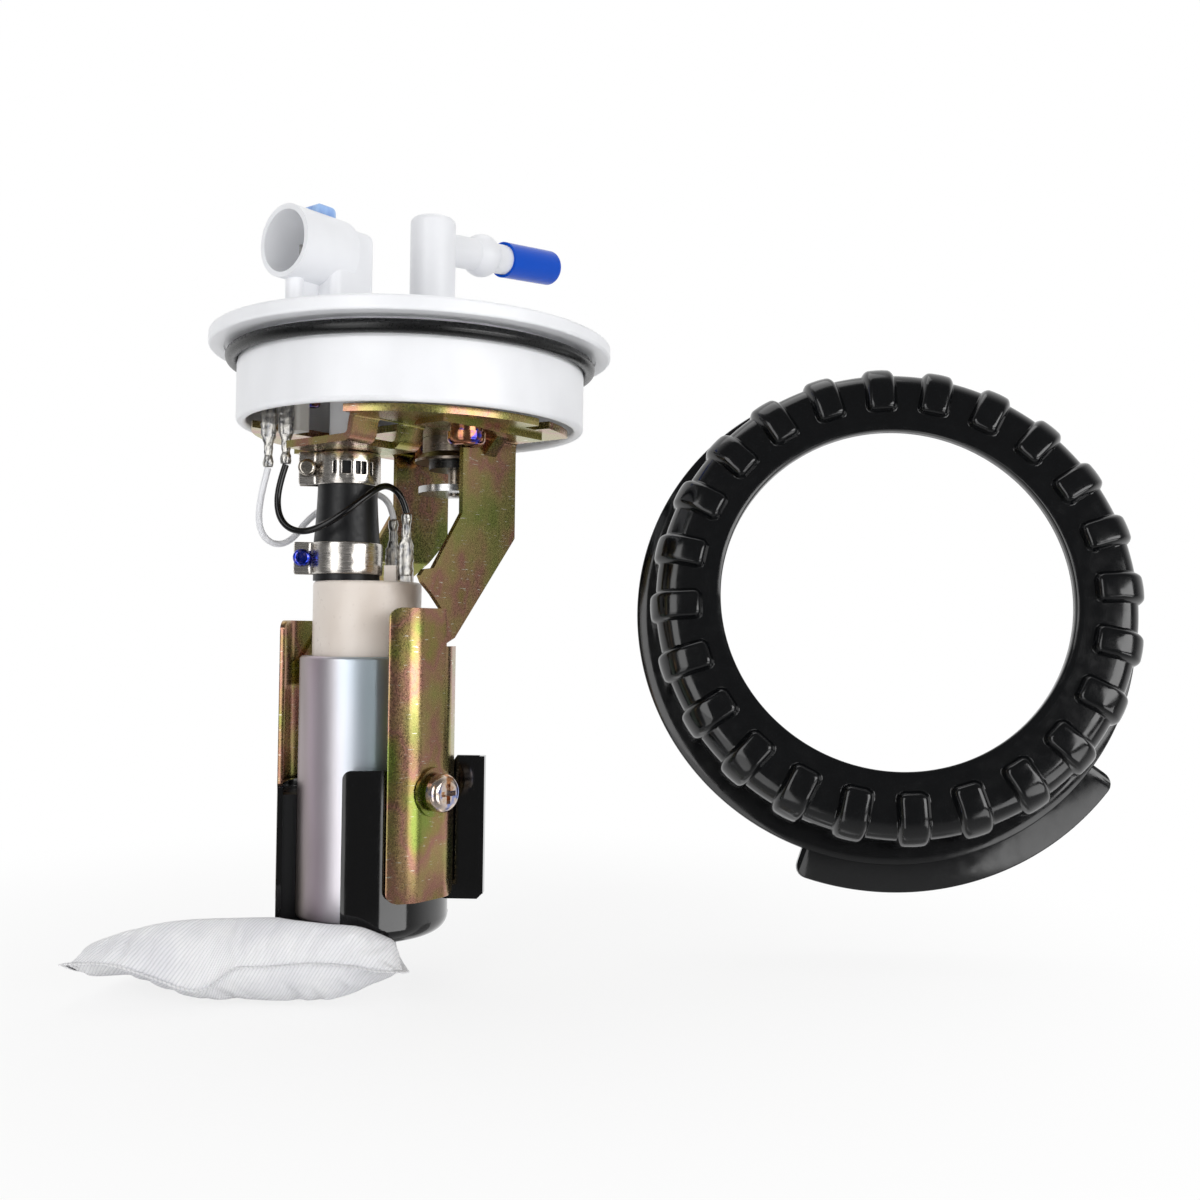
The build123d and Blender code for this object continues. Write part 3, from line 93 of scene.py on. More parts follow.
def add_node(tree: Tree, kind: str, links: dict[Any, Any] | None = None, stops: Stops = (),
             **settings: Any) -> Node:
    """Adds one shader node.

    Args:
        tree: The material's node tree.
        kind: Node type without its "ShaderNode" prefix.
        links: Input name or index to a socket that feeds it, or to a plain value.
        stops: Position and hex colour of each stop, where the node has a colour ramp.
        **settings: Properties of the node itself.

    Returns:
        The new node.
    """
    node = tree.nodes.new("ShaderNode" + kind)
    for name, value in settings.items():
        setattr(node, name, value)
    for name, value in (links or {}).items():
        socket = node.inputs[name]
        if isinstance(value, bpy.types.NodeSocket):
            tree.links.new(value, socket)
        else:
            socket.default_value = value
    if stops:
        elements = node.color_ramp.elements
        while len(elements) < len(stops):
            elements.new(0.5)
        for element, (place, code) in zip(elements, stops):
            element.position = place
            element.color = linear(code)
    return node


def per_metre(size_mm: float) -> float:
    """Scale of a texture whose features are size_mm across, in metres."""
    return 1.0 / (size_mm * MM)


def along(table: Curve, x: float) -> float:
    """Reads a smooth curve that passes through a few given points.

    Args:
        table: Pairs of place and value, in rising order of place.
        x: The place to read.

    Returns:
        The value there; beyond the ends, the end's own value.
    """
    if x <= table[0][0]:
        return table[0][1]
    if x >= table[-1][0]:
        return table[-1][1]
    slot = max(i for i, point in enumerate(table) if point[0] <= x)
    (x0, y0), (x1, y1) = table[slot], table[slot + 1]

    def slope(i: int) -> float:
        """Slope of the curve at one of its points."""
        low, high = table[max(i - 1, 0)], table[min(i + 1, len(table) - 1)]
        return (high[1] - low[1]) / (high[0] - low[0])

    t = (x - x0) / (x1 - x0)
    span = x1 - x0
    return ((2 * t ** 3 - 3 * t ** 2 + 1) * y0 + (t ** 3 - 2 * t ** 2 + t) * span * slope(slot)
            + (3 * t ** 2 - 2 * t ** 3) * y1 + (t ** 3 - t ** 2) * span * slope(slot + 1))


# ---------------------------------------------------------------- finishes
@dataclass(frozen=True)
class Finish:
    """One real finish: a base colour, its gloss and how uneven the surface is.

    Subclasses add the pattern that the process leaves on the surface.
    """

    name: str
    colour: str
    roughness: float
    metallic: float = 0.0
    ior: float = 1.5
    coat: float = 0.0
    coat_roughness: float = 0.06
    subsurface: float = 0.0
    subsurface_depth: float = 5.0   # how far light spreads below the surface
    grain_mm: float = 1.0
    bump_mm: float = 0.01
    uneven: float = 0.06

    def build(self) -> bpy.types.Material:
        """Makes the material.

        Returns:
            The finished material.
        """
        material = bpy.data.materials.new(self.name)
        material.use_nodes = True
        tree = material.node_tree
        shader = tree.nodes["Principled BSDF"]
        values = {"Base Color": linear(self.colour), "Roughness": self.roughness,
                  "Metallic": self.metallic, "IOR": self.ior,
                  "Coat Weight": self.coat, "Coat Roughness": self.coat_roughness,
                  "Subsurface Weight": self.subsurface, "Subsurface Radius": (1.0, 1.0, 1.0),
                  "Subsurface Scale": self.subsurface_depth * MM}
        for socket, value in values.items():
            shader.inputs[socket].default_value = value
        self.pattern(tree, shader, add_node(tree, "TexCoord").outputs["Object"])
        return material

    def pattern(self, tree: Tree, shader: Node, place: Socket) -> None:
        """Adds the fine unevenness that any made surface has.

        Args:
            tree: The material's node tree.
            shader: Its principled shader.
            place: Object coordinates.
        """
        grain = self.noise(tree, place, self.grain_mm)
        self.roughen(tree, shader, grain)
        self.emboss(tree, shader, grain, self.bump_mm)

    def noise(self, tree: Tree, place: Socket, size_mm: float, detail: float = 3.0,
              stretch: Point = (1.0, 1.0, 1.0)) -> Socket:
        """A noise field with features of a real size.

        Args:
            tree: The material's node tree.
            place: Coordinates.
            size_mm: Feature size.
            detail: Octaves of detail.
            stretch: How much longer the features are along each axis.

        Returns:
            The noise value socket.
        """
        scale = tuple(1.0 / s for s in stretch)
        mapped = add_node(tree, "Mapping", {"Vector": place, "Scale": scale}).outputs["Vector"]
        links = {"Vector": mapped, "Scale": per_metre(size_mm), "Detail": detail}
        return add_node(tree, "TexNoise", links).outputs["Fac"]

    def tint(self, tree: Tree, shader: Node, field: Socket, stops: Stops) -> None:
        """Colours the surface by a field.

        Args:
            tree: The material's node tree.
            shader: Its principled shader.
            field: A value from 0 to 1.
            stops: Where each colour lies on it.
        """
        shades = add_node(tree, "ValToRGB", {"Fac": field}, stops)
        tree.links.new(shades.outputs["Color"], shader.inputs["Base Color"])

    def roughen(self, tree: Tree, shader: Node, field: Socket) -> None:
        """Lets the roughness wander by the finish's unevenness round its middle value.

        Args:
            tree: The material's node tree.
            shader: Its principled shader.
            field: A value from 0 to 1.
        """
        # a noise field hardly ever leaves 0.3 to 0.7
        links = {"Value": field, "From Min": 0.3, "From Max": 0.7,
                 "To Min": max(self.roughness - self.uneven, 0.02),
                 "To Max": self.roughness + self.uneven}
        tree.links.new(add_node(tree, "MapRange", links).outputs["Result"], shader.inputs["Roughness"])

    def emboss(self, tree: Tree, shader: Node, height: Socket, depth_mm: float) -> None:
        """Raises the surface by a height field.

        Args:
            tree: The material's node tree.
            shader: Its principled shader.
            height: A value from 0 to 1.
            depth_mm: Full height of the relief.
        """
        bump = add_node(tree, "Bump", {"Height": height, "Distance": depth_mm * MM, "Strength": 1.0})
        tree.links.new(bump.outputs["Normal"], shader.inputs["Normal"])


@dataclass(frozen=True)
class MouldedResin(Finish):
    """Injection-moulded resin: faint flow clouds in the colour and a soft, shallow ripple."""

    cloud: str = "#E6E7EA"
    cloud_mm: float = 12.0

    def pattern(self, tree: Tree, shader: Node, place: Socket) -> None:
        """Adds the flow clouds and the ripple.

        Args:
            tree: The material's node tree.
            shader: Its principled shader.
            place: Object coordinates.
        """
        flow = self.noise(tree, place, self.cloud_mm, 2.0, (1.0, 1.0, 2.0))
        self.tint(tree, shader, flow, ((0.35, self.cloud), (0.6, self.colour)))
        ripple = self.noise(tree, place, self.grain_mm, 4.0)
        self.roughen(tree, shader, ripple)
        self.emboss(tree, shader, ripple, self.bump_mm)


@dataclass(frozen=True)
class YellowChromate(Finish):
    """Zinc plate with a yellow chromate dip: soft olive, gold and rose clouds that differ with
    the thickness of the film, a sparkle of zinc crystals and a few fine drawn scratches."""

    film: Stops = ((0.30, "#8E9652"), (0.41, "#A69C62"), (0.49, "#AD9268"),
                   (0.56, "#AC7E6E"), (0.64, "#A08C5A"), (0.74, "#8A984C"))
    cloud_mm: float = 13.0
    drain_mm: Span = (-100.0, -60.0)    # rosy film below, olive above
    drain: Span = (0.07, -0.05)         # how far the film shifts there
    fleck_mm: float = 0.55
    fleck_share: float = 0.40
    scratch: str = "#D9D3C0"
    scratch_mm: float = 0.35

    def pattern(self, tree: Tree, shader: Node, place: Socket) -> None:
        """Adds the film's clouds, the sparkle and the scratches.

        Args:
            tree: The material's node tree.
            shader: Its principled shader.
            place: Object coordinates.
        """
        cloud = self.noise(tree, place, self.cloud_mm, 3.0, (1.0, 1.0, 1.5))
        low, high = (height * MM for height in self.drain_mm)
        links = {"Value": add_node(tree, "SeparateXYZ", {0: place}).outputs["Z"], "From Min": low,
                 "From Max": high, "To Min": self.drain[0], "To Max": self.drain[1]}
        drained = add_node(tree, "MapRange", links).outputs["Result"]
        cloud = add_node(tree, "Math", {0: cloud, 1: drained}, operation="ADD").outputs["Value"]
        film = add_node(tree, "ValToRGB", {"Fac": cloud}, self.film).outputs["Color"]
        # zinc crystals are about 0.1 mm; drawn at half a millimetre so that they show
        fleck = self.noise(tree, place, self.fleck_mm, 5.0)
        sparkle = add_node(tree, "ValToRGB", {"Fac": fleck}, ((0.30, "#D5CFC2"), (0.50, "#FFFFFF")))
        links = {0: self.fleck_share, 6: film, 7: sparkle.outputs["Color"]}
        film = add_node(tree, "Mix", links, data_type="RGBA", blend_type="MULTIPLY").outputs[2]
        scrape = self.noise(tree, place, self.scratch_mm, 1.0, (9.0, 9.0, 1.2))
        marks = add_node(tree, "MapRange", {"Value": scrape, "From Min": 0.70, "From Max": 0.76})
        links = {0: marks.outputs["Result"], 6: film, 7: linear(self.scratch)}
        film = add_node(tree, "Mix", links, data_type="RGBA").outputs[2]
        tree.links.new(film, shader.inputs["Base Color"])
        self.roughen(tree, shader, fleck)
        self.emboss(tree, shader, fleck, self.bump_mm)


@dataclass(frozen=True)
class DrawnZinc(Finish):
    """Satin zinc over a deep-drawn can: fine upright lines, and a thin clear passivate whose faint lilac and pale
    blue are laid across the can from the camera's left to its right, together with a painted near-white highlight
    left of the middle and painted shade at the left edge."""

    axis: Span = (-17.0, 0.0)
    radius: float = 18.0
    across: Span = (0.609, -0.793)      # level direction from the camera's left to its right, along which the cast and its painted light are laid
    # from the camera's left: painted shade, lilac tint, painted near-white highlight, then pale blue and pale
    # green tints of the passivate
    painted_light_and_cast: Stops = ((0.04, "#8E8580"), (0.20, "#C6B8C2"), (0.38, "#E4E0E6"),
                   (0.54, "#D2DCE6"), (0.68, "#C0D2DA"), (0.84, "#BFD0BC"))
    drift_mm: float = 16.0
    drift: float = 0.5

    def pattern(self, tree: Tree, shader: Node, place: Socket) -> None:
        """Adds the drifting cast with its painted highlight and painted shade, and the drawing lines.

        Args:
            tree: The material's node tree.
            shader: Its principled shader.
            place: Object coordinates.
        """
        # the colour follows the place across the view, not round the wall, so it paints the highlight and the
        # shade onto the can
        offset = self.axis[0] * self.across[0] + self.axis[1] * self.across[1]
        links = {0: place, 1: (*self.across, 0.0)}
        side = add_node(tree, "VectorMath", links, operation="DOT_PRODUCT").outputs["Value"]
        links = {"Value": side, "From Min": (offset - self.radius) * MM,
                 "From Max": (offset + self.radius) * MM}
        left_to_right_in_view = add_node(tree, "MapRange", links).outputs["Result"]
        wander = self.noise(tree, place, self.drift_mm, 2.0, (1.0, 1.0, 5.0))
        links = {0: wander, 1: self.drift, 2: left_to_right_in_view}
        moved = add_node(tree, "Math", links, operation="MULTIPLY_ADD").outputs["Value"]
        shifted = add_node(tree, "Math", {0: moved, 1: self.drift / 2}, operation="SUBTRACT").outputs["Value"]
        self.tint(tree, shader, shifted, self.painted_light_and_cast)
        lines = self.noise(tree, place, self.grain_mm, 3.0, (1.0, 1.0, 40.0))
        self.roughen(tree, shader, lines)
        self.emboss(tree, shader, lines, self.bump_mm)


@dataclass(frozen=True)
class HeatTint(Finish):
    """Plated screw steel with an oxide film that changes colour from place to place."""

    film: Stops = ((0.34, "#8F9BCB"), (0.43, "#D8C9C4"), (0.56, "#E2D0BE"), (0.68, "#C98F62"))

    def pattern(self, tree: Tree, shader: Node, place: Socket) -> None:
        """Adds the film's colours.

        Args:
            tree: The material's node tree.
            shader: Its principled shader.
            place: Object coordinates.
        """
        cloud = self.noise(tree, place, self.grain_mm, 2.0)
        self.tint(tree, shader, cloud, self.film)
        self.roughen(tree, shader, cloud)


@dataclass(frozen=True)
class ClampScrews(Finish):
    """Small screws, the lower one blued and the upper one left bright."""

    blued_below_mm: float = -50.0
    bright: str = "#BBB4AA"
    blues: Stops = ((0.36, "#16279A"), (0.5, "#2F4BD6"), (0.64, "#7F78C8"))

    def pattern(self, tree: Tree, shader: Node, place: Socket) -> None:
        """Chooses blued or bright by height, and lets the blue run to violet.

        Args:
            tree: The material's node tree.
            shader: Its principled shader.
            place: Object coordinates.
        """
        height = add_node(tree, "SeparateXYZ", {0: place}).outputs["Z"]
        links = {0: height, 1: self.blued_below_mm * MM}
        high = add_node(tree, "Math", links, operation="GREATER_THAN").outputs["Value"]
        film = self.noise(tree, place, self.grain_mm, 2.0)
        blue = add_node(tree, "ValToRGB", {"Fac": film}, self.blues).outputs["Color"]
        links = {0: high, 6: blue, 7: linear(self.bright)}
        colour = add_node(tree, "Mix", links, data_type="RGBA").outputs[2]
        tree.links.new(colour, shader.inputs["Base Color"])
        self.roughen(tree, shader, film)


@dataclass(frozen=True)
class CrimpedTin(Finish):
    """Tin-dipped brass terminals: bright, wrinkled by the crimping die, and darker in the wrinkles' hollows."""

    tones: Stops = ((0.34, "#7C7D80"), (0.50, "#B9B7B3"), (0.66, "#DAD7D0"))

    def pattern(self, tree: Tree, shader: Node, place: Socket) -> None:
        """Adds the wrinkles and the darker tone in their hollows.

        Args:
            tree: The material's node tree.
            shader: Its principled shader.
            place: Object coordinates.
        """
        wrinkle = self.noise(tree, place, self.grain_mm, 4.0, (1.0, 1.0, 1.8))
        # one field sets both colour and height, so the hollows come out darker
        self.tint(tree, shader, wrinkle, self.tones)
        self.roughen(tree, shader, wrinkle)
        self.emboss(tree, shader, wrinkle, self.bump_mm)


@dataclass(frozen=True)
class GlossBlack(Finish):
    """Black gloss, moulded or dipped: a clear reflection with slow waves, dust and faint rubs."""

    wave_mm: float = 9.0
    rub_mm: float = 4.0
    dust: str = "#4A4B4E"
    dust_mm: float = 1.6            # distance between specks
    speck: Span = (0.045, 0.02)     # where a speck's edge starts and ends, as shares of it

    def pattern(self, tree: Tree, shader: Node, place: Socket) -> None:
        """Adds dust specks, rubbed patches and the slow waves of the surface.

        Args:
            tree: The material's node tree.
            shader: Its principled shader.
            place: Object coordinates.
        """
        links = {"Vector": place, "Scale": per_metre(self.dust_mm)}
        far = add_node(tree, "TexVoronoi", links).outputs["Distance"]
        links = {"Value": far, "From Min": self.speck[0], "From Max": self.speck[1]}
        speck = add_node(tree, "MapRange", links).outputs["Result"]
        links = {0: speck, 6: linear(self.colour), 7: linear(self.dust)}
        colour = add_node(tree, "Mix", links, data_type="RGBA").outputs[2]
        tree.links.new(colour, shader.inputs["Base Color"])
        self.roughen(tree, shader, self.noise(tree, place, self.rub_mm, 5.0))
        self.emboss(tree, shader, self.noise(tree, place, self.wave_mm, 1.0), self.bump_mm)


@dataclass(frozen=True)
class RolledStrip(Finish):
    """Stainless strip: bright, with fine lines along the strip and a few shallow dents."""

    dent_mm: float = 3.0

    def pattern(self, tree: Tree, shader: Node, place: Socket) -> None:
        """Adds the rolling lines and the dents.

        Args:
            tree: The material's node tree.
            shader: Its principled shader.
            place: Object coordinates.
        """
        self.roughen(tree, shader, self.noise(tree, place, self.grain_mm, 3.0, (18.0, 18.0, 1.0)))
        self.emboss(tree, shader, self.noise(tree, place, self.dent_mm, 1.0), self.bump_mm)


@dataclass(frozen=True)
class WovenCloth(Finish):
    """Polyester filter cloth: raised diagonal ribs crossed by finer threads, soft at its edges."""

    rib_mm: float = 0.85
    thread_mm: float = 0.5
    thread_share: float = 0.25
    turn: float = 0.55              # the ribs' slant on the cloth, in radians
    hollow: str = "#DADBDE"
    soil: Stops = ((0.35, "#F2F2F4"), (0.6, "#FFFFFF"))
    soil_mm: float = 14.0
    sheen: float = 0.15

    def ribs(self, tree: Tree, place: Socket, pitch_mm: float, turn: float) -> Socket:
        """Straight bands of a real pitch, turned about Z.

        Args:
            tree: The material's node tree.
            place: Coordinates.
            pitch_mm: Distance from one band to the next.
            turn: Angle of the bands in radians.

        Returns:
            A value from 0 to 1 across each band.
        """
        links = {"Vector": place, "Rotation": (0.0, 0.0, turn)}
        turned = add_node(tree, "Mapping", links).outputs["Vector"]
        # the wave node draws sin(20 x), so one period at scale 1 is tau / 20
        links = {"Vector": turned, "Scale": per_metre(pitch_mm) * math.tau / 20}
        return add_node(tree, "TexWave", links, bands_direction="X", wave_profile="SIN").outputs["Fac"]

    def pattern(self, tree: Tree, shader: Node, place: Socket) -> None:
        """Adds the ribs and the cross threads, laid along the cloth itself.

        Args:
            tree: The material's node tree.
            shader: Its principled shader.
            place: Object coordinates, which only the soiling follows.
        """
        cloth = add_node(tree, "UVMap", uv_map="cloth").outputs["UV"]
        rib = self.ribs(tree, cloth, self.rib_mm, self.turn)
        thread = self.ribs(tree, cloth, self.thread_mm, self.turn + math.pi / 2)
        links = {0: thread, 1: self.thread_share, 2: rib}
        weave = add_node(tree, "Math", links, operation="MULTIPLY_ADD").outputs["Value"]
        tone = add_node(tree, "ValToRGB", {"Fac": weave}, ((0.0, self.hollow), (0.55, self.colour)))
        soil = add_node(tree, "ValToRGB", {"Fac": self.noise(tree, place, self.soil_mm, 3.0)}, self.soil)
        links = {0: 1.0, 6: tone.outputs["Color"], 7: soil.outputs["Color"]}
        colour = add_node(tree, "Mix", links, data_type="RGBA", blend_type="MULTIPLY").outputs[2]
        tree.links.new(colour, shader.inputs["Base Color"])
        shader.inputs["Sheen Weight"].default_value = self.sheen
        self.emboss(tree, shader, weave, self.bump_mm)


class Look(Enum):
    """The finishes of the module, each with the values of the real surface."""

    # acetal, injection moulded: a clean cool white with an even, satin light
    ACETAL = MouldedResin("moulded_acetal", "#F2F3F6", 0.34, ior=1.48, grain_mm=12.0, bump_mm=0.001,
                          uneven=0.01, cloud="#EEEFF2")
    # nitrile rubber, pressed in a mould: near black with a thin satin line of light
    NITRILE = Finish("nitrile_rubber", "#08090A", 0.30, ior=1.45, grain_mm=0.6, bump_mm=0.01)
    # soft vinyl, dipped on a former: a full blue with a wet gloss and hardly any glare
    VINYL = Finish("dipped_vinyl", "#0050C8", 0.20, ior=1.25, grain_mm=3.0, bump_mm=0.02)
    # nylon, moulded thin: pale blue with deeper blue clouds, as if lit from within
    PALE_BLUE = MouldedResin("pale_blue_nylon", "#9FC0F2", 0.35, subsurface=0.3, cloud="#3F6FD8", cloud_mm=5.0)
    # tinned brass, crimped by a die: bright silver broken up by small dents that are darker
    TIN = CrimpedTin("tinned_brass", "#B9B7B3", 0.36, 1.0, grain_mm=1.1, bump_mm=0.10, uneven=0.1)
    # zinc-plated steel, dipped in yellow chromate: gold that drifts to olive and to rose
    CHROMATE = YellowChromate("yellow_chromate", "#9A8A5A", 0.27, 1.0, bump_mm=0.010, uneven=0.07)
    # plated screw steel, tinted by heat: pale metal with straw and blue patches
    SCREW = HeatTint("tinted_screw_steel", "#D8C9C4", 0.2, 1.0, grain_mm=3.2)
    # copper-washed screw steel, tinted by heat: red-brown metal with violet edges
    COPPER_SCREW = HeatTint("copper_tinted_steel", "#9C6248", 0.17, 1.0, grain_mm=3.0,
                            film=((0.36, "#3C3E9E"), (0.43, "#8A5A52"), (0.55, "#B07A58"), (0.68, "#C79A72")))
    # screw steel, one blued in an oven: a deep blue spark below, a plain bright one above
    CLAMP_SCREW = ClampScrews("small_clamp_screws", "#2F4BD6", 0.2, 1.0, grain_mm=1.0)
    # stainless strip, cold rolled: bright grey with fine lines and soft dents
    STAINLESS = RolledStrip("stainless_strip", "#CFCAC4", 0.25, 1.0, grain_mm=0.3, bump_mm=0.10)
    # zinc-plated can, deep drawn: satin silver that runs from lilac to pale blue, with a painted highlight and
    # painted shade laid across it as seen
    ZINC = DrawnZinc("drawn_zinc", "#C4C4BE", 0.42, 1.0, grain_mm=0.3, bump_mm=0.0005, uneven=0.02)
    # phenolic resin, moulded: a warm, quiet beige with faint clouds
    BEIGE = MouldedResin("beige_phenolic", "#E4DAD1", 0.32, subsurface=0.1, grain_mm=1.5, bump_mm=0.02,
                         cloud="#DDD2C8", cloud_mm=9.0)
    # dip coat on pressed steel: deep black with a clear reflection that wavers slowly
    BLACK_COAT = GlossBlack("black_dip_coat", "#030304", 0.09, ior=1.5, coat=0.5, bump_mm=0.05, uneven=0.03)
    # fuel hose rubber, extruded: blue-black with a soft, broad light
    HOSE = Finish("hose_rubber", "#0B0C0F", 0.42, ior=1.45, grain_mm=1.2, bump_mm=0.02)
    # wire insulation, extruded: one narrow bright line along the black wire
    BLACK_WIRE = Finish("black_insulation", "#030304", 0.20, ior=1.45, grain_mm=2.0, bump_mm=0.01)
    # wire insulation, extruded: soft white that lets a little light through
    WHITE_WIRE = Finish("white_insulation", "#E9EAEE", 0.36, subsurface=0.2, grain_mm=2.0, bump_mm=0.01)
    # nylon, moulded: off-white and dull, a shade warmer than the lid
    WHITE_NYLON = MouldedResin("white_nylon", "#E6E3DC", 0.45, subsurface=0.15, grain_mm=2.0, cloud="#D9D5CC")
    # electrical steel, stamped and stacked: dark grey with a fine dull grain
    LAMINATION = Finish("laminated_steel", "#4A4A4C", 0.4, 1.0, grain_mm=0.5, bump_mm=0.02)
    # copper, drawn and enamelled: warm orange with soft lights
    COPPER = Finish("enamelled_copper", "#B5673A", 0.28, 1.0, grain_mm=0.8, bump_mm=0.03)
    # carbon, pressed and fired: a dry near-black
    CARBON = Finish("pressed_carbon", "#202022", 0.6, grain_mm=0.4, bump_mm=0.02)
    # ferrite, pressed and sintered: a dry dark grey
    FERRITE = Finish("sintered_ferrite", "#3A3A3C", 0.55, grain_mm=0.5, bump_mm=0.02)
    # steel, ground: bright neutral grey
    STEEL = Finish("ground_steel", "#B4B4B4", 0.22, 1.0, grain_mm=0.5, bump_mm=0.01)
    # steel, drawn and left bare: warm dull grey with fine lines
    DULL_STEEL = RolledStrip("drawn_steel_can", "#8F867C", 0.3, 1.0, grain_mm=0.4, bump_mm=0.03)
    # brass, turned: yellow with crisp lights
    BRASS = Finish("turned_brass", "#C8A050", 0.25, 1.0, grain_mm=0.6, bump_mm=0.01)
    # polyester, woven on the slant: white cloth whose fine diagonal ribs catch the light
    CLOTH = WovenCloth("woven_filter_cloth", "#F7F7F9", 0.75, subsurface=0.3, bump_mm=0.08)
    # nylon, moulded in a polished tool: black with broad, faintly rippled reflections
    BLACK_NYLON = GlossBlack("moulded_black_nylon", "#07080A", 0.15, ior=1.53, bump_mm=0.10, uneven=0.06)


class Paintbox:
    """Builds each finish once and hands it out."""

    def __init__(self) -> None:
        """Starts with no material made."""
        self.made: dict[Look, bpy.types.Material] = {}

    def dress(self, piece: Piece, look: Look) -> None:
        """Gives a piece one finish all over.

        Args:
            piece: The piece to dress.
            look: Its finish.
        """
        if look not in self.made:
            self.made[look] = look.value.build()
        piece.data.materials.clear()
        piece.data.materials.append(self.made[look])


# ---------------------------------------------------------------- making pieces
def add_object(name: str, data: bpy.types.ID) -> Piece:
    """Links new data into the scene as one object.

    Args:
        name: Name of the object.
        data: Its mesh, curve, lamp or camera.

    Returns:
        The object.
    """
    made = bpy.data.objects.new(name, data)
    bpy.context.collection.objects.link(made)
    return made


def piece_of(name: str, shape: Shape, outward: bool = True) -> Piece:
    """Turns a finished shape into a piece, and frees the shape.

    Args:
        name: Name of the piece.
        shape: Its shape, in metres.
        outward: Whether its faces are all turned outwards first.

    Returns:
        The piece.
    """
    if outward:
        bmesh.ops.recalc_face_normals(shape, faces=shape.faces)
    mesh = bpy.data.meshes.new(name)
    shape.to_mesh(mesh)
    shape.free()
    return add_object(name, mesh)


def loft(shape: Shape, rings: Sequence[Sequence[Vert]], capped: bool = False) -> None:
    """Joins each closed ring of points to the next with a band of faces.

    Args:
        shape: The shape that holds the points.
        rings: The rings, all with the same number of points.
        capped: Whether the first and the last ring are closed with a face.
    """
    for here, there in zip(rings, rings[1:]):
        for j in range(len(here)):
            up = (j + 1) % len(here)
            shape.faces.new((here[j], here[up], there[up], there[j]))
    if capped:
        shape.faces.new(rings[0])
        shape.faces.new(rings[-1])


def settle(piece: Piece) -> None:
    """Applies every modifier of a piece to its mesh."""
    graph = bpy.context.evaluated_depsgraph_get()
    done = bpy.data.meshes.new_from_object(piece.evaluated_get(graph))
    piece.modifiers.clear()
    piece.data = done


def smooth(mesh: bpy.types.Mesh) -> None:
    """Shades a mesh smoothly."""
    mesh.polygons.foreach_set("use_smooth", [True] * len(mesh.polygons))


def thicken(piece: Piece, sheet: float, lay: float, deburr: float) -> None:
    """Gives a bent sheet its thickness and breaks its sharp edges.

    Args:
        piece: One face of the sheet.
        sheet: Thickness of the sheet.
        lay: -1 to lay the thickness behind that face, 1 in front of it.
        deburr: Width of the broken edge.
    """
    thick = piece.modifiers.new("sheet", "SOLIDIFY")
    thick.thickness = sheet * MM
    thick.offset = lay
    soft = piece.modifiers.new("deburr", "BEVEL")
    soft.width = deburr * MM
    soft.segments = 2
    soft.limit_method = "ANGLE"
    settle(piece)
    smooth(piece.data)


# ---------------------------------------------------------------- studio
@dataclass(frozen=True)
class Lamp:
    """One soft rectangular lamp that faces the middle of the scene.  Millimetres and degrees."""

    WATTS: ClassVar[float] = 4.0    # power per square metre of its face at a glow of 1
    name: str
    azimuth: float                  # where it stands, from +X towards +Y
    elevation: float                # angle above the level of the centre
    away: float                     # distance from the centre
    size: Span
    glow: float                     # brightness of its face, 1 being white
    mirrored: bool = True           # whether bright surfaces show it

    def build(self, centre: Point) -> None:
        """Hangs the lamp.

        Args:
            centre: The point that it faces.
        """
        data = bpy.data.lights.new(self.name, "AREA")
        data.shape = "RECTANGLE"
        data.size, data.size_y = (side * MM for side in self.size)
        data.energy = self.glow * self.WATTS * data.size * data.size_y
        lamp = add_object(self.name, data)
        lamp.visible_glossy = self.mirrored
        flat, rise = math.radians(self.azimuth), math.radians(self.elevation)
        out = Vector((math.cos(flat) * math.cos(rise), math.sin(flat) * math.cos(rise), math.sin(rise)))
        place = (Vector(centre) + out * self.away) * MM
        lamp.matrix_world = Matrix.Translation(place) @ out.to_track_quat("Z", "Y").to_matrix().to_4x4()


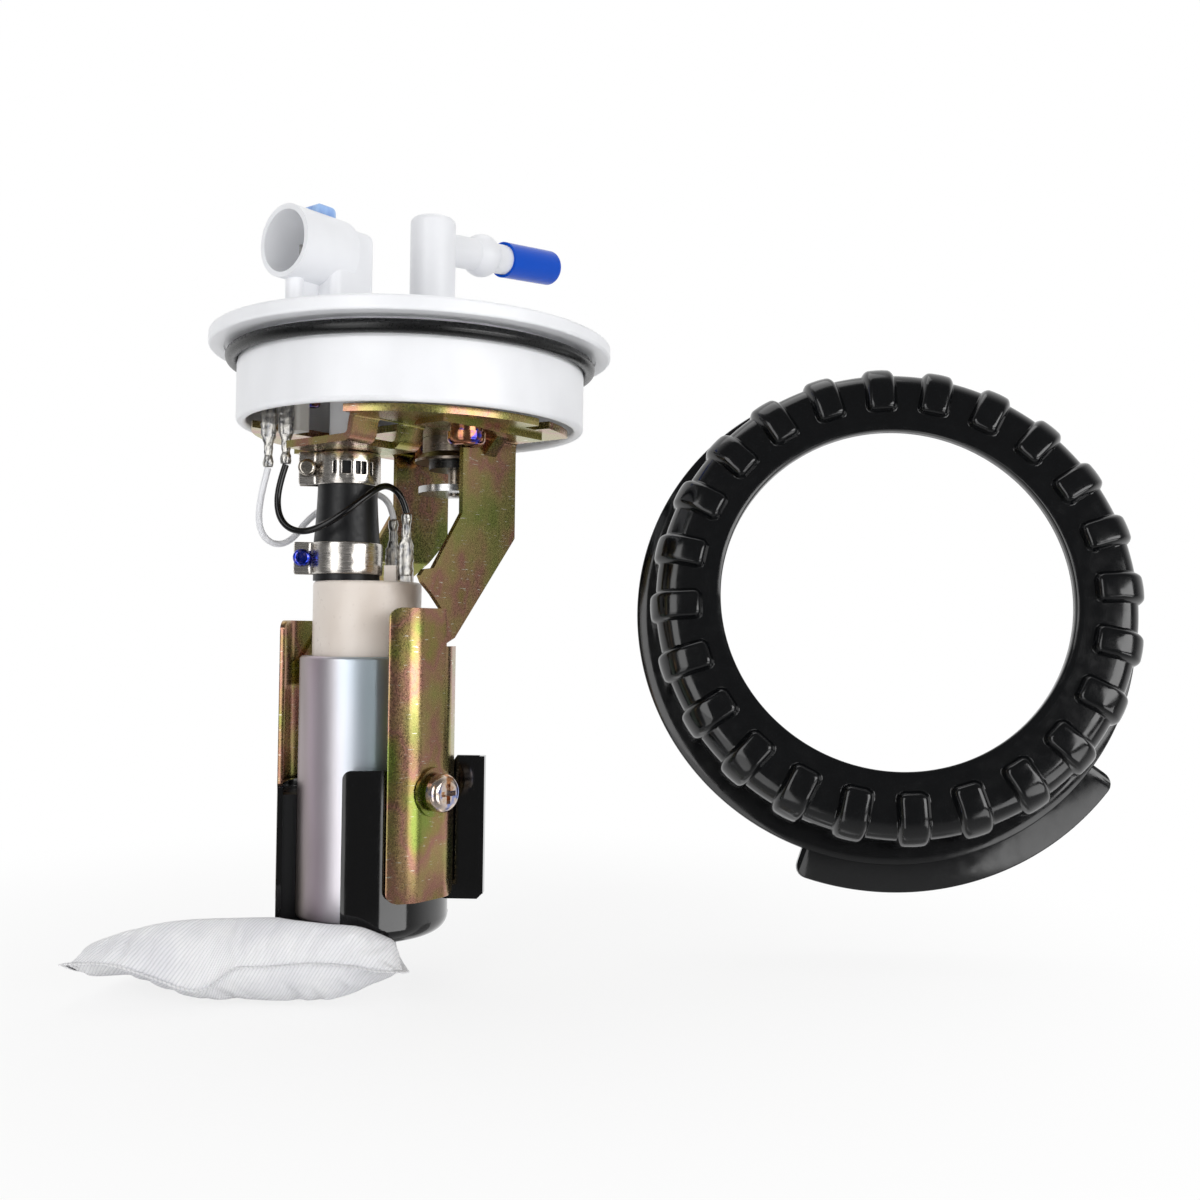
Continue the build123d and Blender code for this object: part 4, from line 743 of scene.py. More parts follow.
@dataclass
class Studio:
    """Pale floor and backdrop, soft lamps and the camera.  Millimetres and degrees."""

    camera_at: Point = (-265.50, -276.32, -83.22)
    heading: float = 52.5           # the view is turned this far from +Y towards +X
    pitch: float = 1.592
    roll: float = 0.679
    lens: float = 37.5
    sensor: float = 36.0
    clip: float = 10.0
    centre: Point = (20.0, -30.0, -80.0)
    floor_half: float = 6000.0
    floor_drop: float = 0.6         # floor below the lowest point
    floor_colour: str = "#F2F2F2"
    shadow: Span = (160.0, 340.0)   # reach over which the shadow on the floor gives way to white
    shadow_white: float = 0.80      # share of plain white where the shadow is deepest
    dim: float = 0.13               # mirrored brightness of the room on the camera's side
    dim_floor: Span = (-160.0, 20.0)    # depth over which the mirrored floor comes out of the dim
    dim_room: Span = (-0.35, 0.45)      # and the same for the mirrored room, as a share of ahead
    fill: Span = (0.20, 0.85)       # soft light from the camera's side and from behind the module
    fill_room: Span = (-0.6, 0.6)   # between which shares of ahead it changes
    polish: float = 0.6             # share of the mirrored floor that is itself a mirror
    polish_roughness: float = 0.06
    lamps: tuple[Lamp, ...] = (
        Lamp("left_box", 188.0, 14.0, 1000.0, (520.0, 700.0), 2.1),
        Lamp("right_box", 266.5, 9.0, 1000.0, (700.0, 380.0), 3.6),
        Lamp("top_box", 60.0, 78.0, 900.0, (600.0, 600.0), 1.0),
        Lamp("low_box", 215.0, -13.0, 420.0, (320.0, 110.0), 1.8, mirrored=False))

    def camera(self) -> None:
        """Places the camera at the module's usual catalogue view."""
        data = bpy.data.cameras.new("camera")
        data.lens = self.lens
        data.sensor_width = self.sensor
        data.clip_start = self.clip * MM
        camera = add_object("camera", data)
        turn = Matrix.Rotation(-math.radians(self.heading), 4, "Z")
        tilt = Matrix.Rotation(math.radians(90 + self.pitch), 4, "X")
        twist = Matrix.Rotation(math.radians(self.roll), 4, "Z")
        camera.matrix_world = Matrix.Translation(Vector(self.camera_at) * MM) @ turn @ tilt @ twist
        bpy.context.scene.camera = camera

    def rays(self, tree: Tree) -> tuple[Socket, Socket]:
        """Tells the rays that arrive apart.

        Args:
            tree: Node tree of the floor or the room.

        Returns:
            1 for a ray seen at first hand, and 1 for one seen in a mirror or through glass.
        """
        path = add_node(tree, "LightPath").outputs
        links = {0: path["Is Glossy Ray"], 1: path["Is Transmission Ray"]}
        return path["Is Camera Ray"], add_node(tree, "Math", links, operation="MAXIMUM").outputs["Value"]

    def ahead(self, tree: Tree, place: Socket, reach: Span, values: Span, ease: str = "SMOOTHSTEP") -> Socket:
        """A value that changes with depth, away from the camera's side.

        Args:
            tree: Node tree of the floor or the room.
            place: Coordinates.
            reach: Depth at which it starts and ends to change.
            values: The value at those two depths.
            ease: Manner of the change.

        Returns:
            The value's socket.
        """
        turn = math.radians(self.heading)
        links = {0: place, 1: (math.sin(turn), math.cos(turn), 0.0)}
        depth = add_node(tree, "VectorMath", links, operation="DOT_PRODUCT").outputs["Value"]
        links = {"Value": depth, "From Min": reach[0], "From Max": reach[1], "To Min": values[0],
                 "To Max": values[1]}
        return add_node(tree, "MapRange", links, interpolation_type=ease).outputs["Result"]

    def floor(self) -> None:
        """Lays the pale floor: white to the eye, with the module's soft shadow near it.

        In a mirror it is white behind and beneath the module and falls into the room's dim
        front, and its sheet is glossy enough to pass the lamps on to the black pieces.
        """
        z = CAD_BOX[0][2] - self.floor_drop * MM
        half = self.floor_half * MM
        mesh = bpy.data.meshes.new("floor")
        corners = [(-half, -half, z), (half, -half, z), (half, half, z), (-half, half, z)]
        mesh.from_pydata(corners, [], [(0, 1, 2, 3)])
        floor = add_object("floor", mesh)
        material = bpy.data.materials.new("pale_floor")
        material.use_nodes = True
        tree = material.node_tree
        tree.nodes.clear()
        bare = linear("#FFFFFF")
        place = add_node(tree, "TexCoord").outputs["Object"]
        reach = add_node(tree, "VectorMath", {0: place}, operation="LENGTH").outputs["Value"]
        links = {"Value": reach, "From Min": self.shadow[0] * MM, "From Max": self.shadow[1] * MM,
                 "To Min": self.shadow_white, "To Max": 1.0}
        share = add_node(tree, "MapRange", links, interpolation_type="SMOOTHSTEP").outputs["Result"]
        seen, mirrored = self.rays(tree)
        shown = add_node(tree, "Math", {0: seen, 1: share}, operation="MULTIPLY").outputs["Value"]
        matte = add_node(tree, "BsdfDiffuse", {"Color": linear(self.floor_colour)}).outputs["BSDF"]
        white = add_node(tree, "Emission", {"Color": bare, "Strength": 1.0}).outputs["Emission"]
        direct = add_node(tree, "MixShader", {0: shown, 1: matte, 2: white}).outputs["Shader"]
        depth = (self.dim_floor[0] * MM, self.dim_floor[1] * MM)
        fade = self.ahead(tree, place, depth, (self.dim, 1.0))
        sheen = add_node(tree, "Emission", {"Color": bare, "Strength": fade}).outputs["Emission"]
        links = {"Color": bare, "Roughness": self.polish_roughness}
        gloss = add_node(tree, "BsdfGlossy", links).outputs["BSDF"]
        polished = add_node(tree, "MixShader", {0: self.polish, 1: sheen, 2: gloss}).outputs["Shader"]
        both = add_node(tree, "MixShader", {0: mirrored, 1: direct, 2: polished}).outputs["Shader"]
        add_node(tree, "OutputMaterial", {"Surface": both})
        floor.data.materials.append(material)

    def world(self) -> None:
        """Fills the room: white behind the module, dim on the side that the camera stands."""
        world = bpy.data.worlds.new("room")
        bpy.context.scene.world = world
        world.use_nodes = True
        tree = world.node_tree
        tree.nodes.clear()
        bare = linear("#FFFFFF")
        way = add_node(tree, "TexCoord").outputs["Generated"]
        glow = self.ahead(tree, way, self.dim_room, (self.dim, 1.0))
        fill = self.ahead(tree, way, self.fill_room, self.fill, "LINEAR")
        seen, mirrored = self.rays(tree)
        soft, shine, white = (add_node(tree, "Background", {"Color": bare, "Strength": strength}).outputs[0]
                              for strength in (fill, glow, 1.0))
        room = add_node(tree, "MixShader", {0: mirrored, 1: soft, 2: shine}).outputs["Shader"]
        both = add_node(tree, "MixShader", {0: seen, 1: room, 2: white}).outputs["Shader"]
        add_node(tree, "OutputWorld", {"Surface": both})

    def build(self) -> None:
        """Sets the whole studio."""
        self.floor()
        self.world()
        for lamp in self.lamps:
            lamp.build(self.centre)
        self.camera()
        bpy.context.scene.view_settings.view_transform = "Standard"
        LOG.info("studio set")


# ---------------------------------------------------------------- sub-assemblies
class Assembly:
    """A group of nodes and pieces of the module that are dressed together."""

    looks: ClassVar[dict[str, Look]] = {}

    def dress(self, paint: Paintbox) -> None:
        """Gives each node of the group its finish.

        Args:
            paint: The shared finishes.
        """
        for node, look in self.looks.items():
            paint.dress(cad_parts[node], look)
            LOG.info("%s dressed as %s", node, look.value.name)

    def stand_for(self, piece: Piece, node: str, look: Look, slot: str, paint: Paintbox,
                  body: str = "module") -> None:
        """Puts a modelled piece in the place of a node.

        Args:
            piece: The piece.
            node: The node that it stands for.
            look: Its finish.
            slot: Not used.
            paint: The shared finishes.
            body: The body that it moves with.
        """
        paint.dress(piece, look)
        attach(piece, body)
        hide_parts(node)
        LOG.info("%s stands for %s", piece.name, node)


@dataclass
class TankLid(Assembly):
    """The moulded flange with its seal, pins, transit cap and connector."""

    looks = {"flange": Look.ACETAL, "socket_pins": Look.TIN, "connector_lock": Look.PALE_BLUE,
             "seal_ring": Look.NITRILE, "transit_cap": Look.VINYL}


@dataclass
class Bracket(Assembly):
    """The stamped plate, legs and wings with their screws.

    The wings are bent up here, so that their bends have the broad radius of a press brake.
    """

    pump_x: float = -17.0
    web_y: float = 28.0             # outside face of a wing, from the pump's axis
    half_web: float = 6.4
    lip: float = 8.0
    lip_angle: float = 35.0
    bend: float = 8.2
    sheet: float = 1.5
    corner: float = 3.0
    deburr: float = 0.22
    leg_gap: float = 1.8            # how far inside the web's edge the short lip begins
    web_steps: int = 4
    bend_steps: int = 12
    # side, lower and upper end, and upper end of the lip that the leg passes
    wings = {"front_wing": (-1, (-157.2, -76.4), -87.0), "back_wing": (1, (-164.0, -80.0), -99.5)}
    # shares of a lip's length, dense at its rounded corner
    lip_steps: tuple[float, ...] = (0.35, 0.47, 0.60, 0.72, 0.83, 0.91, 0.96, 0.99, 1.0)
    looks = {"mount_plate": Look.CHROMATE, "front_leg": Look.CHROMATE, "back_leg": Look.CHROMATE,
             "wing_screws": Look.SCREW, "wing_washers": Look.CHROMATE, "spring_washers": Look.CHROMATE,
             "wing_nuts": Look.STEEL, "plate_screws": Look.COPPER_SCREW, "terminal_screw": Look.COPPER_SCREW,
             "terminal_block": Look.WHITE_NYLON}

    def outline(self) -> list[Span]:
        """Outer face of a wing in plan, from one lip's edge to the other's."""
        turn = math.radians(self.lip_angle)
        start = self.half_web - self.bend * math.tan(turn / 2)
        straight = self.lip - self.bend * math.tan(turn / 2)
        right = [(start * k / self.web_steps, self.web_y) for k in range(self.web_steps + 1)]
        for k in range(1, self.bend_steps + 1):
            angle = turn * k / self.bend_steps
            fall = self.bend * (1 - math.cos(angle))
            right.append((start + self.bend * math.sin(angle), self.web_y - fall))
        x, y = right[-1]
        for far in self.lip_steps:
            right.append((x + straight * far * math.cos(turn), y - straight * far * math.sin(turn)))
        return [(-x, y) for x, y in reversed(right[1:])] + right

    def wing(self, name: str, side: int, z_range: Span, lip_top: float) -> Piece:
        """Bends one wing from sheet, its +X lip cut short where the leg passes.

        Args:
            name: Name of the piece.
            side: -1 in front of the pump, +1 behind it.
            z_range: Lower and upper end.
            lip_top: Upper end of the short lip.

        Returns:
            The piece.
        """
        line = self.outline()
        edge = line[-1][0]
        shape = bmesh.new()
        columns = []
        for x, y in line:
            gap = max(self.corner - (edge - abs(x)), 0.0)
            inset = self.corner - math.sqrt(self.corner ** 2 - gap ** 2)
            top = z_range[1] - inset if x <= self.half_web - self.leg_gap else lip_top
            spots = [Vector((self.pump_x + x, side * y, z)) * MM for z in (z_range[0] + inset, top)]
            columns.append([shape.verts.new(spot) for spot in spots])
        for (a, b), (c, d) in zip(columns, columns[1:]):
            shape.faces.new((a, c, d, b) if side < 0 else (a, b, d, c))
        piece = piece_of(name, shape, outward=False)
        thicken(piece, self.sheet, -1.0, self.deburr)
        return piece

    def build(self, paint: Paintbox) -> None:
        """Makes both wings.

        Args:
            paint: The shared finishes.
        """
        for node, (side, z_range, lip_top) in self.wings.items():
            piece = self.wing(node + "_sheet", side, z_range, lip_top)
            self.stand_for(piece, node, Look.CHROMATE, "chromate", paint)


@dataclass
class Regulator(Assembly):
    """The pressure regulator that hangs from the plate."""

    looks = {"regulator_body": Look.DULL_STEEL, "regulator_seal": Look.NITRILE, "regulator_disc": Look.STEEL,
             "regulator_valve": Look.STEEL, "regulator_spring": Look.STEEL}


@dataclass
class Pump(Assembly):
    """The pump with all that turns and seals inside it, and the cup that holds it."""

    looks = {"pump_can": Look.ZINC, "end_cap": Look.BEIGE, "inlet_cover": Look.BEIGE, "chamber_cover": Look.BEIGE,
             "impeller": Look.CARBON, "armature_core": Look.LAMINATION, "windings": Look.COPPER,
             "commutator": Look.COPPER, "shaft": Look.STEEL, "bearings": Look.BRASS, "magnets": Look.FERRITE,
             "brush_a": Look.CARBON, "brush_b": Look.CARBON, "brush_spring_a": Look.STEEL,
             "brush_spring_b": Look.STEEL, "outlet_insert": Look.BRASS, "check_valve": Look.BRASS,
             "check_spring": Look.STEEL, "relief_valve": Look.BRASS, "relief_spring": Look.STEEL,
             "cup": Look.BLACK_COAT, "cup_liner": Look.HOSE, "hose": Look.HOSE}


@dataclass
class LockRing(Assembly):
    """The lugged ring that screws the flange down, drawn about its own axis, its top at zero.

    Its skin is one section swept round the axis and raised into a soft pillow at each lug.
    """

    centre: Point = (102.1, -111.6, -69.8)
    axis: Point = (-0.819, -0.542, 0.186)
    bore: float = 55.0
    wall: float = 75.7
    shoulder: float = 7.0
    top_thick: float = 4.0
    skin: float = 4.0
    brim: float = 82.5
    brim_z: Span = (-31.0, -27.5)
    brim_fillet: float = 3.0
    deburr: float = 0.35
    lugs: int = 24
    lug_in: float = 60.8
    lug_half: float = 5.1
    lug_corner: float = 3.0
    lug_soft: float = 2.3           # how far in from its edge a lug reaches its full height
    lug_roll: float = 2.4           # how fully its edge is rounded
    lug_rise: float = 2.4           # height of a lug on the ring's top
    wall_rise: float = 1.6          # and on its wall
    lug_crown: float = 0.30
    lug_phase: float = 92.9
    threads: int = 3
    thread_top: float = -9.0
    thread_pitch: float = 5.0
    thread_depth: float = 2.0
    thread_half: Span = (1.6, 0.4)  # half its height at the root and at the crest
    tab_r: float = 91.2
    tab_z: Span = (-34.0, -29.5)
    tab_turn: float = -73.0
    tab_arc: float = 73.0
    tab_corner: float = 4.0
    sharp: float = 48.0             # edges sharper than this show as edges, in degrees
    # across one half of a lug, dense where its edge rolls over
    lug_columns: tuple[float, ...] = (0.0, 1.4, 2.5, 3.1, 3.5, 3.85, 4.15, 4.4, 4.62, 4.8, 4.95, 5.06, 5.14,
                                      5.45)
    gap_columns: tuple[float, ...] = (0.35, 0.75)
    # along the section, from a lug's inner end
    lug_rows: tuple[float, ...] = (-1.0, -0.2, 0.02, 0.15, 0.35, 0.6, 0.9, 1.3, 1.75, 2.3, 3.0, 4.2, 5.6)
    top_row: float = 2.4            # from the bore
    bend_steps: int = 12
    wall_steps: int = 10
    tab_ends: tuple[float, ...] = (0.0, 0.12, 0.45, 1.0, 1.8, 2.8)
    tab_steps: int = 60

    def flat(self) -> float:
        """Width of the ring's level top, from the bore to the shoulder."""
        return self.wall - self.shoulder - self.bore

    def section(self, s: float) -> tuple[Vector, Vector]:
        """Outer section: across the top, over the shoulder and down the wall.

        Args:
            s: Length along the section from the bore.

        Returns:
            Radius and height there, and the outward direction.
        """
        flat = self.flat()
        bend = self.shoulder * math.pi / 2
        if s <= flat:
            return Vector((self.bore + s, 0.0)), Vector((0.0, 1.0))
        turn = min((s - flat) / self.shoulder, math.pi / 2)
        out = Vector((math.sin(turn), math.cos(turn)))
        hub = Vector((self.wall - self.shoulder, -self.shoulder))
        return hub + out * self.shoulder - Vector((0.0, max(s - flat - bend, 0.0))), out

    def pillow(self, s: float, across: float) -> float:
        """Height of a lug over the plain ring.

        Args:
            s: Length along the section from the bore.
            across: Distance from the lug's middle line.

        Returns:
            The height, zero outside the lug.
        """
        core = self.lug_half - self.lug_corner
        side, end = abs(across) - core, self.lug_in - self.bore + self.lug_corner - s
        inside = self.lug_corner - (math.hypot(side, end) if side > 0 and end > 0 else max(side, end))
        if inside <= 0:
            return 0.0
        share = 1 - (1 - min(inside / self.lug_soft, 1.0)) ** self.lug_roll
        over = self.section(s)[1].x
        rise = self.lug_rise + (self.wall_rise - self.lug_rise) * over
        return share * (rise + self.lug_crown * (1 - (across / self.lug_half) ** 2))

    def rows(self) -> list[float]:
        """Places along the section, dense at the lugs' inner ends."""
        lug = self.lug_in - self.bore
        flat = self.flat()
        bend = self.shoulder * math.pi / 2
        end = flat + bend - self.shoulder - self.brim_z[1]
        near = [lug + step for step in self.lug_rows]
        wall = flat + bend
        over = [flat + bend * k / self.bend_steps for k in range(self.bend_steps + 1)]
        down = [wall + (end - flat - bend) * k / self.wall_steps for k in range(1, self.wall_steps + 1)]
        return [self.deburr, self.top_row] + near + over + down

    def columns(self, radius: float) -> list[Span]:
        """Angle and distance from the lug's middle of each column of one lug's share.

        Args:
            radius: Radius at which the angles are wanted.

        Returns:
            Pairs of angle in radians and distance in millimetres.
        """
        half = math.pi / self.lugs
        last = self.lug_columns[-1]
        right = [(t / radius, t) for t in self.lug_columns]
        rest = half - last / radius
        right += [(last / radius + rest * share, last + share) for share in self.gap_columns]
        left = [(-angle, t) for angle, t in reversed(right[1:])]
        return left + right

    def hidden_side(self) -> list[Vector]:
        """The rest of the section: brim, inner wall with its thread, and bore."""
        d, inner = self.deburr, self.wall - self.skin
        low, top = self.brim_z
        root, crest = self.thread_half
        tip = inner - self.thread_depth
        line = [(self.wall + self.brim_fillet, top), (self.brim - d, top), (self.brim, top - d),
                (self.brim, low + d), (self.brim - d, low), (inner + d, low), (inner, low + d)]
        for n in reversed(range(self.threads)):
            z = self.thread_top - n * self.thread_pitch
            line += [(inner, z - root), (tip, z - crest), (tip, z + crest), (inner, z + root)]
        line += [(inner, -self.top_thick), (self.bore + d, -self.top_thick), (self.bore, d - self.top_thick),
                 (self.bore, -d)]
        return [Vector(point) for point in line]

    def place(self, radius: float, angle: float, z: float) -> Vector:
        """Turns a place on the ring to the module's metres.

        Args:
            radius: Distance from the ring's axis.
            angle: Angle about it, in radians.
            z: Height along it, the ring's top being zero.

        Returns:
            The place in the module.
        """
        up = Vector(self.axis).normalized()
        across = Vector((0.0, 0.0, 1.0)).cross(up).normalized()
        side = up.cross(across)
        flat = across * math.cos(angle) + side * math.sin(angle)
        return (Vector(self.centre) + flat * radius + up * z) * MM

    def body(self, shape: Shape) -> None:
        """Sweeps the section round and raises the lugs.

        Args:
            shape: Shape that it is added to.
        """
        levels = self.rows()
        hidden = self.hidden_side()
        columns: list[list[Vert]] = []
        for n in range(self.lugs):
            middle = math.radians(self.lug_phase) + math.tau * n / self.lugs
            for k in range(len(self.columns(self.bore))):
                column = []
                for s in levels:
                    at, out = self.section(s)
                    angle, across = self.columns(at.x)[k]
                    at = at + out * self.pillow(s, across)
                    column.append(shape.verts.new(self.place(at.x, middle + angle, at.y)))
                for at in hidden:
                    angle = self.columns(at.x)[k][0]
                    column.append(shape.verts.new(self.place(at.x, middle + angle, at.y)))
                columns.append(column)
        loft(shape, columns + columns[:1])

    def tab(self, shape: Shape) -> None:
        """Adds the broad tab under one side of the brim.

        Args:
            shape: Shape that it is added to.
        """
        length = math.radians(self.tab_arc) * self.tab_r
        ends = [*self.tab_ends, self.tab_corner]
        plain = (length - 2 * self.tab_corner) / self.tab_steps
        run = ends + [self.tab_corner + plain * k for k in range(1, self.tab_steps)]
        run += [length - step for step in reversed(ends)]
        inner = self.wall - self.skin
        low, top = self.tab_z
        d = self.deburr
        columns = []
        for step in run:
            short = max(self.tab_corner - min(step, length - step), 0.0)
            edge = self.tab_r - self.tab_corner + math.sqrt(self.tab_corner ** 2 - short ** 2)
            angle = math.radians(self.tab_turn - self.tab_arc / 2) + step / self.tab_r
            line = [(inner, low), (edge - d, low), (edge, low + d), (edge, top - d), (edge - d, top),
                    (inner, top)]
            columns.append([shape.verts.new(self.place(r, angle, z)) for r, z in line])
        loft(shape, columns, capped=True)

    def build(self, paint: Paintbox) -> None:
        """Makes the ring.

        Args:
            paint: The shared finishes.
        """
        shape = bmesh.new()
        self.body(shape)
        self.tab(shape)
        ring = piece_of("lugged_ring", shape)
        smooth(ring.data)
        ring.data.set_sharp_from_angle(angle=math.radians(self.sharp))
        self.stand_for(ring, "lock_ring", Look.BLACK_NYLON, "black_coat", paint, body="lock_ring")


@dataclass(frozen=True)
class Band:
    """One clamp's strip: its inner radius, the heights of its edges and its pierced bridges."""

    radius: float
    z_range: Span
    bridges: tuple[float, ...] = ()     # their angles, in degrees from +X

    def arcs(self, angle: float) -> list[float]:
        """Distances round the band from a place to the middle of each bridge.

        Args:
            angle: The place, in degrees from +X.

        Returns:
            One distance for each bridge.
        """
        return [abs(math.radians((angle - at + 180) % 360 - 180) * self.radius) for at in self.bridges]


@dataclass
class HoseClamps(Assembly):
    """Two clamps of bent stainless strip, each drawn together by a small screw."""

    axis: Span = (-20.0, 6.0)
    ear_turn: float = 139.0
    ear_out: float = 4.6
    ear_half_gap: float = 3.2
    strip: float = 0.8
    soft_bend: float = 1.1          # length over which a bend is rounded
    slot_wide: float = 2.4
    slot_high: float = 3.4
    cut: Span = (0.30, 0.75)        # where a bridge is cut free, as shares of slot_wide
    bridge_rise: float = 0.35
    bridge_spread: float = 0.55     # how wide a bridge rises, as a share of slot_wide
    edge_fall: float = 0.16         # how far the strip's edges are rolled in
    edge_wide: float = 0.5
    deburr: float = 0.12
    step: float = 0.35
    bands = {"upper_clamp": Band(8.62, (-40.6, -31.2), (212.0, 237.0, 264.0)),
             "lower_clamp": Band(9.62, (-66.6, -57.4))}
    looks = {"clamp_screws": Look.CLAMP_SCREW}

    def path(self, radius: float) -> list[Vector]:
        """The strip's line in plan, ears towards +X, its outer face on the left.

        Args:
            radius: Inner radius of the band.

        Returns:
            Evenly spaced points from the tip of one ear to the tip of the other.
        """
        outer = radius + self.strip
        level = self.ear_half_gap
        open_half = math.asin(level / outer)
        tip = outer + self.ear_out
        root = outer * math.cos(open_half)
        corners: list[Vector] = []
        count = int((tip - root) / self.step)
        corners += [Vector((tip - (tip - root) * i / count, level)) for i in range(count)]
        turns = int((math.tau - 2 * open_half) * outer / self.step)
        for i in range(turns + 1):
            angle = open_half + (math.tau - 2 * open_half) * i / turns
            corners.append(Vector((outer * math.cos(angle), outer * math.sin(angle))))
        corners += [Vector((root + (tip - root) * (i + 1) / count, -level)) for i in range(count)]
        reach = max(int(self.soft_bend / self.step), 1)
        rounded = []
        for i in range(len(corners)):
            span = min(reach, i, len(corners) - 1 - i)
            near = corners[i - span:i + span + 1]
            rounded.append(sum(near, Vector((0.0, 0.0))) / len(near))
        return rounded

    def relief(self, arcs: Sequence[float], up: float, edge: float) -> float:
        """How far the strip stands out of its own line.

        Args:
            arcs: Distances round the band to its bridges.
            up: Height above the band's middle.
            edge: Distance from its nearer edge.

        Returns:
            The relief, negative where the strip falls in.
        """
        spread = self.bridge_spread * self.slot_wide
        fade = (up / self.slot_high) ** 4
        rises = [self.bridge_rise * math.exp(-(arc / spread) ** 2 - fade) for arc in arcs]
        return max(rises, default=0.0) - self.edge_fall * math.exp(-(edge / self.edge_wide) ** 2)

    def strip_of(self, name: str, band: Band) -> Piece:
        """Bends one strip round the hose.

        Args:
            name: Name of the piece.
            band: The strip's sizes.

        Returns:
            The piece.
        """
        line = self.path(band.radius)
        low, high = band.z_range
        rows = int((high - low) / self.step)
        middle = (low + high) / 2
        turn = Matrix.Rotation(math.radians(self.ear_turn), 2)
        near = [band.arcs(math.degrees(math.atan2(at.y, at.x)) + self.ear_turn) for at in line]
        shape = bmesh.new()
        grid: list[list[Vert]] = []
        for point, arcs in zip(line, near):
            out = point.normalized() if point.length > 0 else point
            column = []
            for j in range(rows + 1):
                z = low + (high - low) * j / rows
                flat = turn @ (point + out * self.relief(arcs, z - middle, min(z - low, high - z)))
                column.append(shape.verts.new((flat.x + self.axis[0], flat.y + self.axis[1], z)))
            grid.append(column)
        inside, outside = (share * self.slot_wide for share in self.cut)
        for i, (here, there) in enumerate(zip(grid, grid[1:])):
            pierced = any(inside < arc < outside for arc in near[i])
            for j in range(rows):
                z = low + (high - low) * (j + 0.5) / rows
                if not (pierced and abs(z - middle) < self.slot_high / 2):
                    shape.faces.new((here[j], here[j + 1], there[j + 1], there[j]))
        for vert in shape.verts:
            vert.co *= MM
        bmesh.ops.delete(shape, geom=[v for v in shape.verts if not v.link_faces], context="VERTS")
        piece = piece_of(name, shape)
        # the ears are bent outwards, so the strip's thickness is laid on the side of the hose
        face = piece.data.polygons[len(piece.data.polygons) // 2]
        hub = Vector((self.axis[0] * MM, self.axis[1] * MM, face.center.z))
        inward = (hub - face.center).dot(face.normal) > 0
        thicken(piece, self.strip, 1.0 if inward else -1.0, self.deburr)
        return piece

    def build(self, paint: Paintbox) -> None:
        """Makes both clamps.

        Args:
            paint: The shared finishes.
        """
        for node, band in self.bands.items():
            piece = self.strip_of(node + "_strip", band)
            self.stand_for(piece, node, Look.STAINLESS, "stainless", paint)


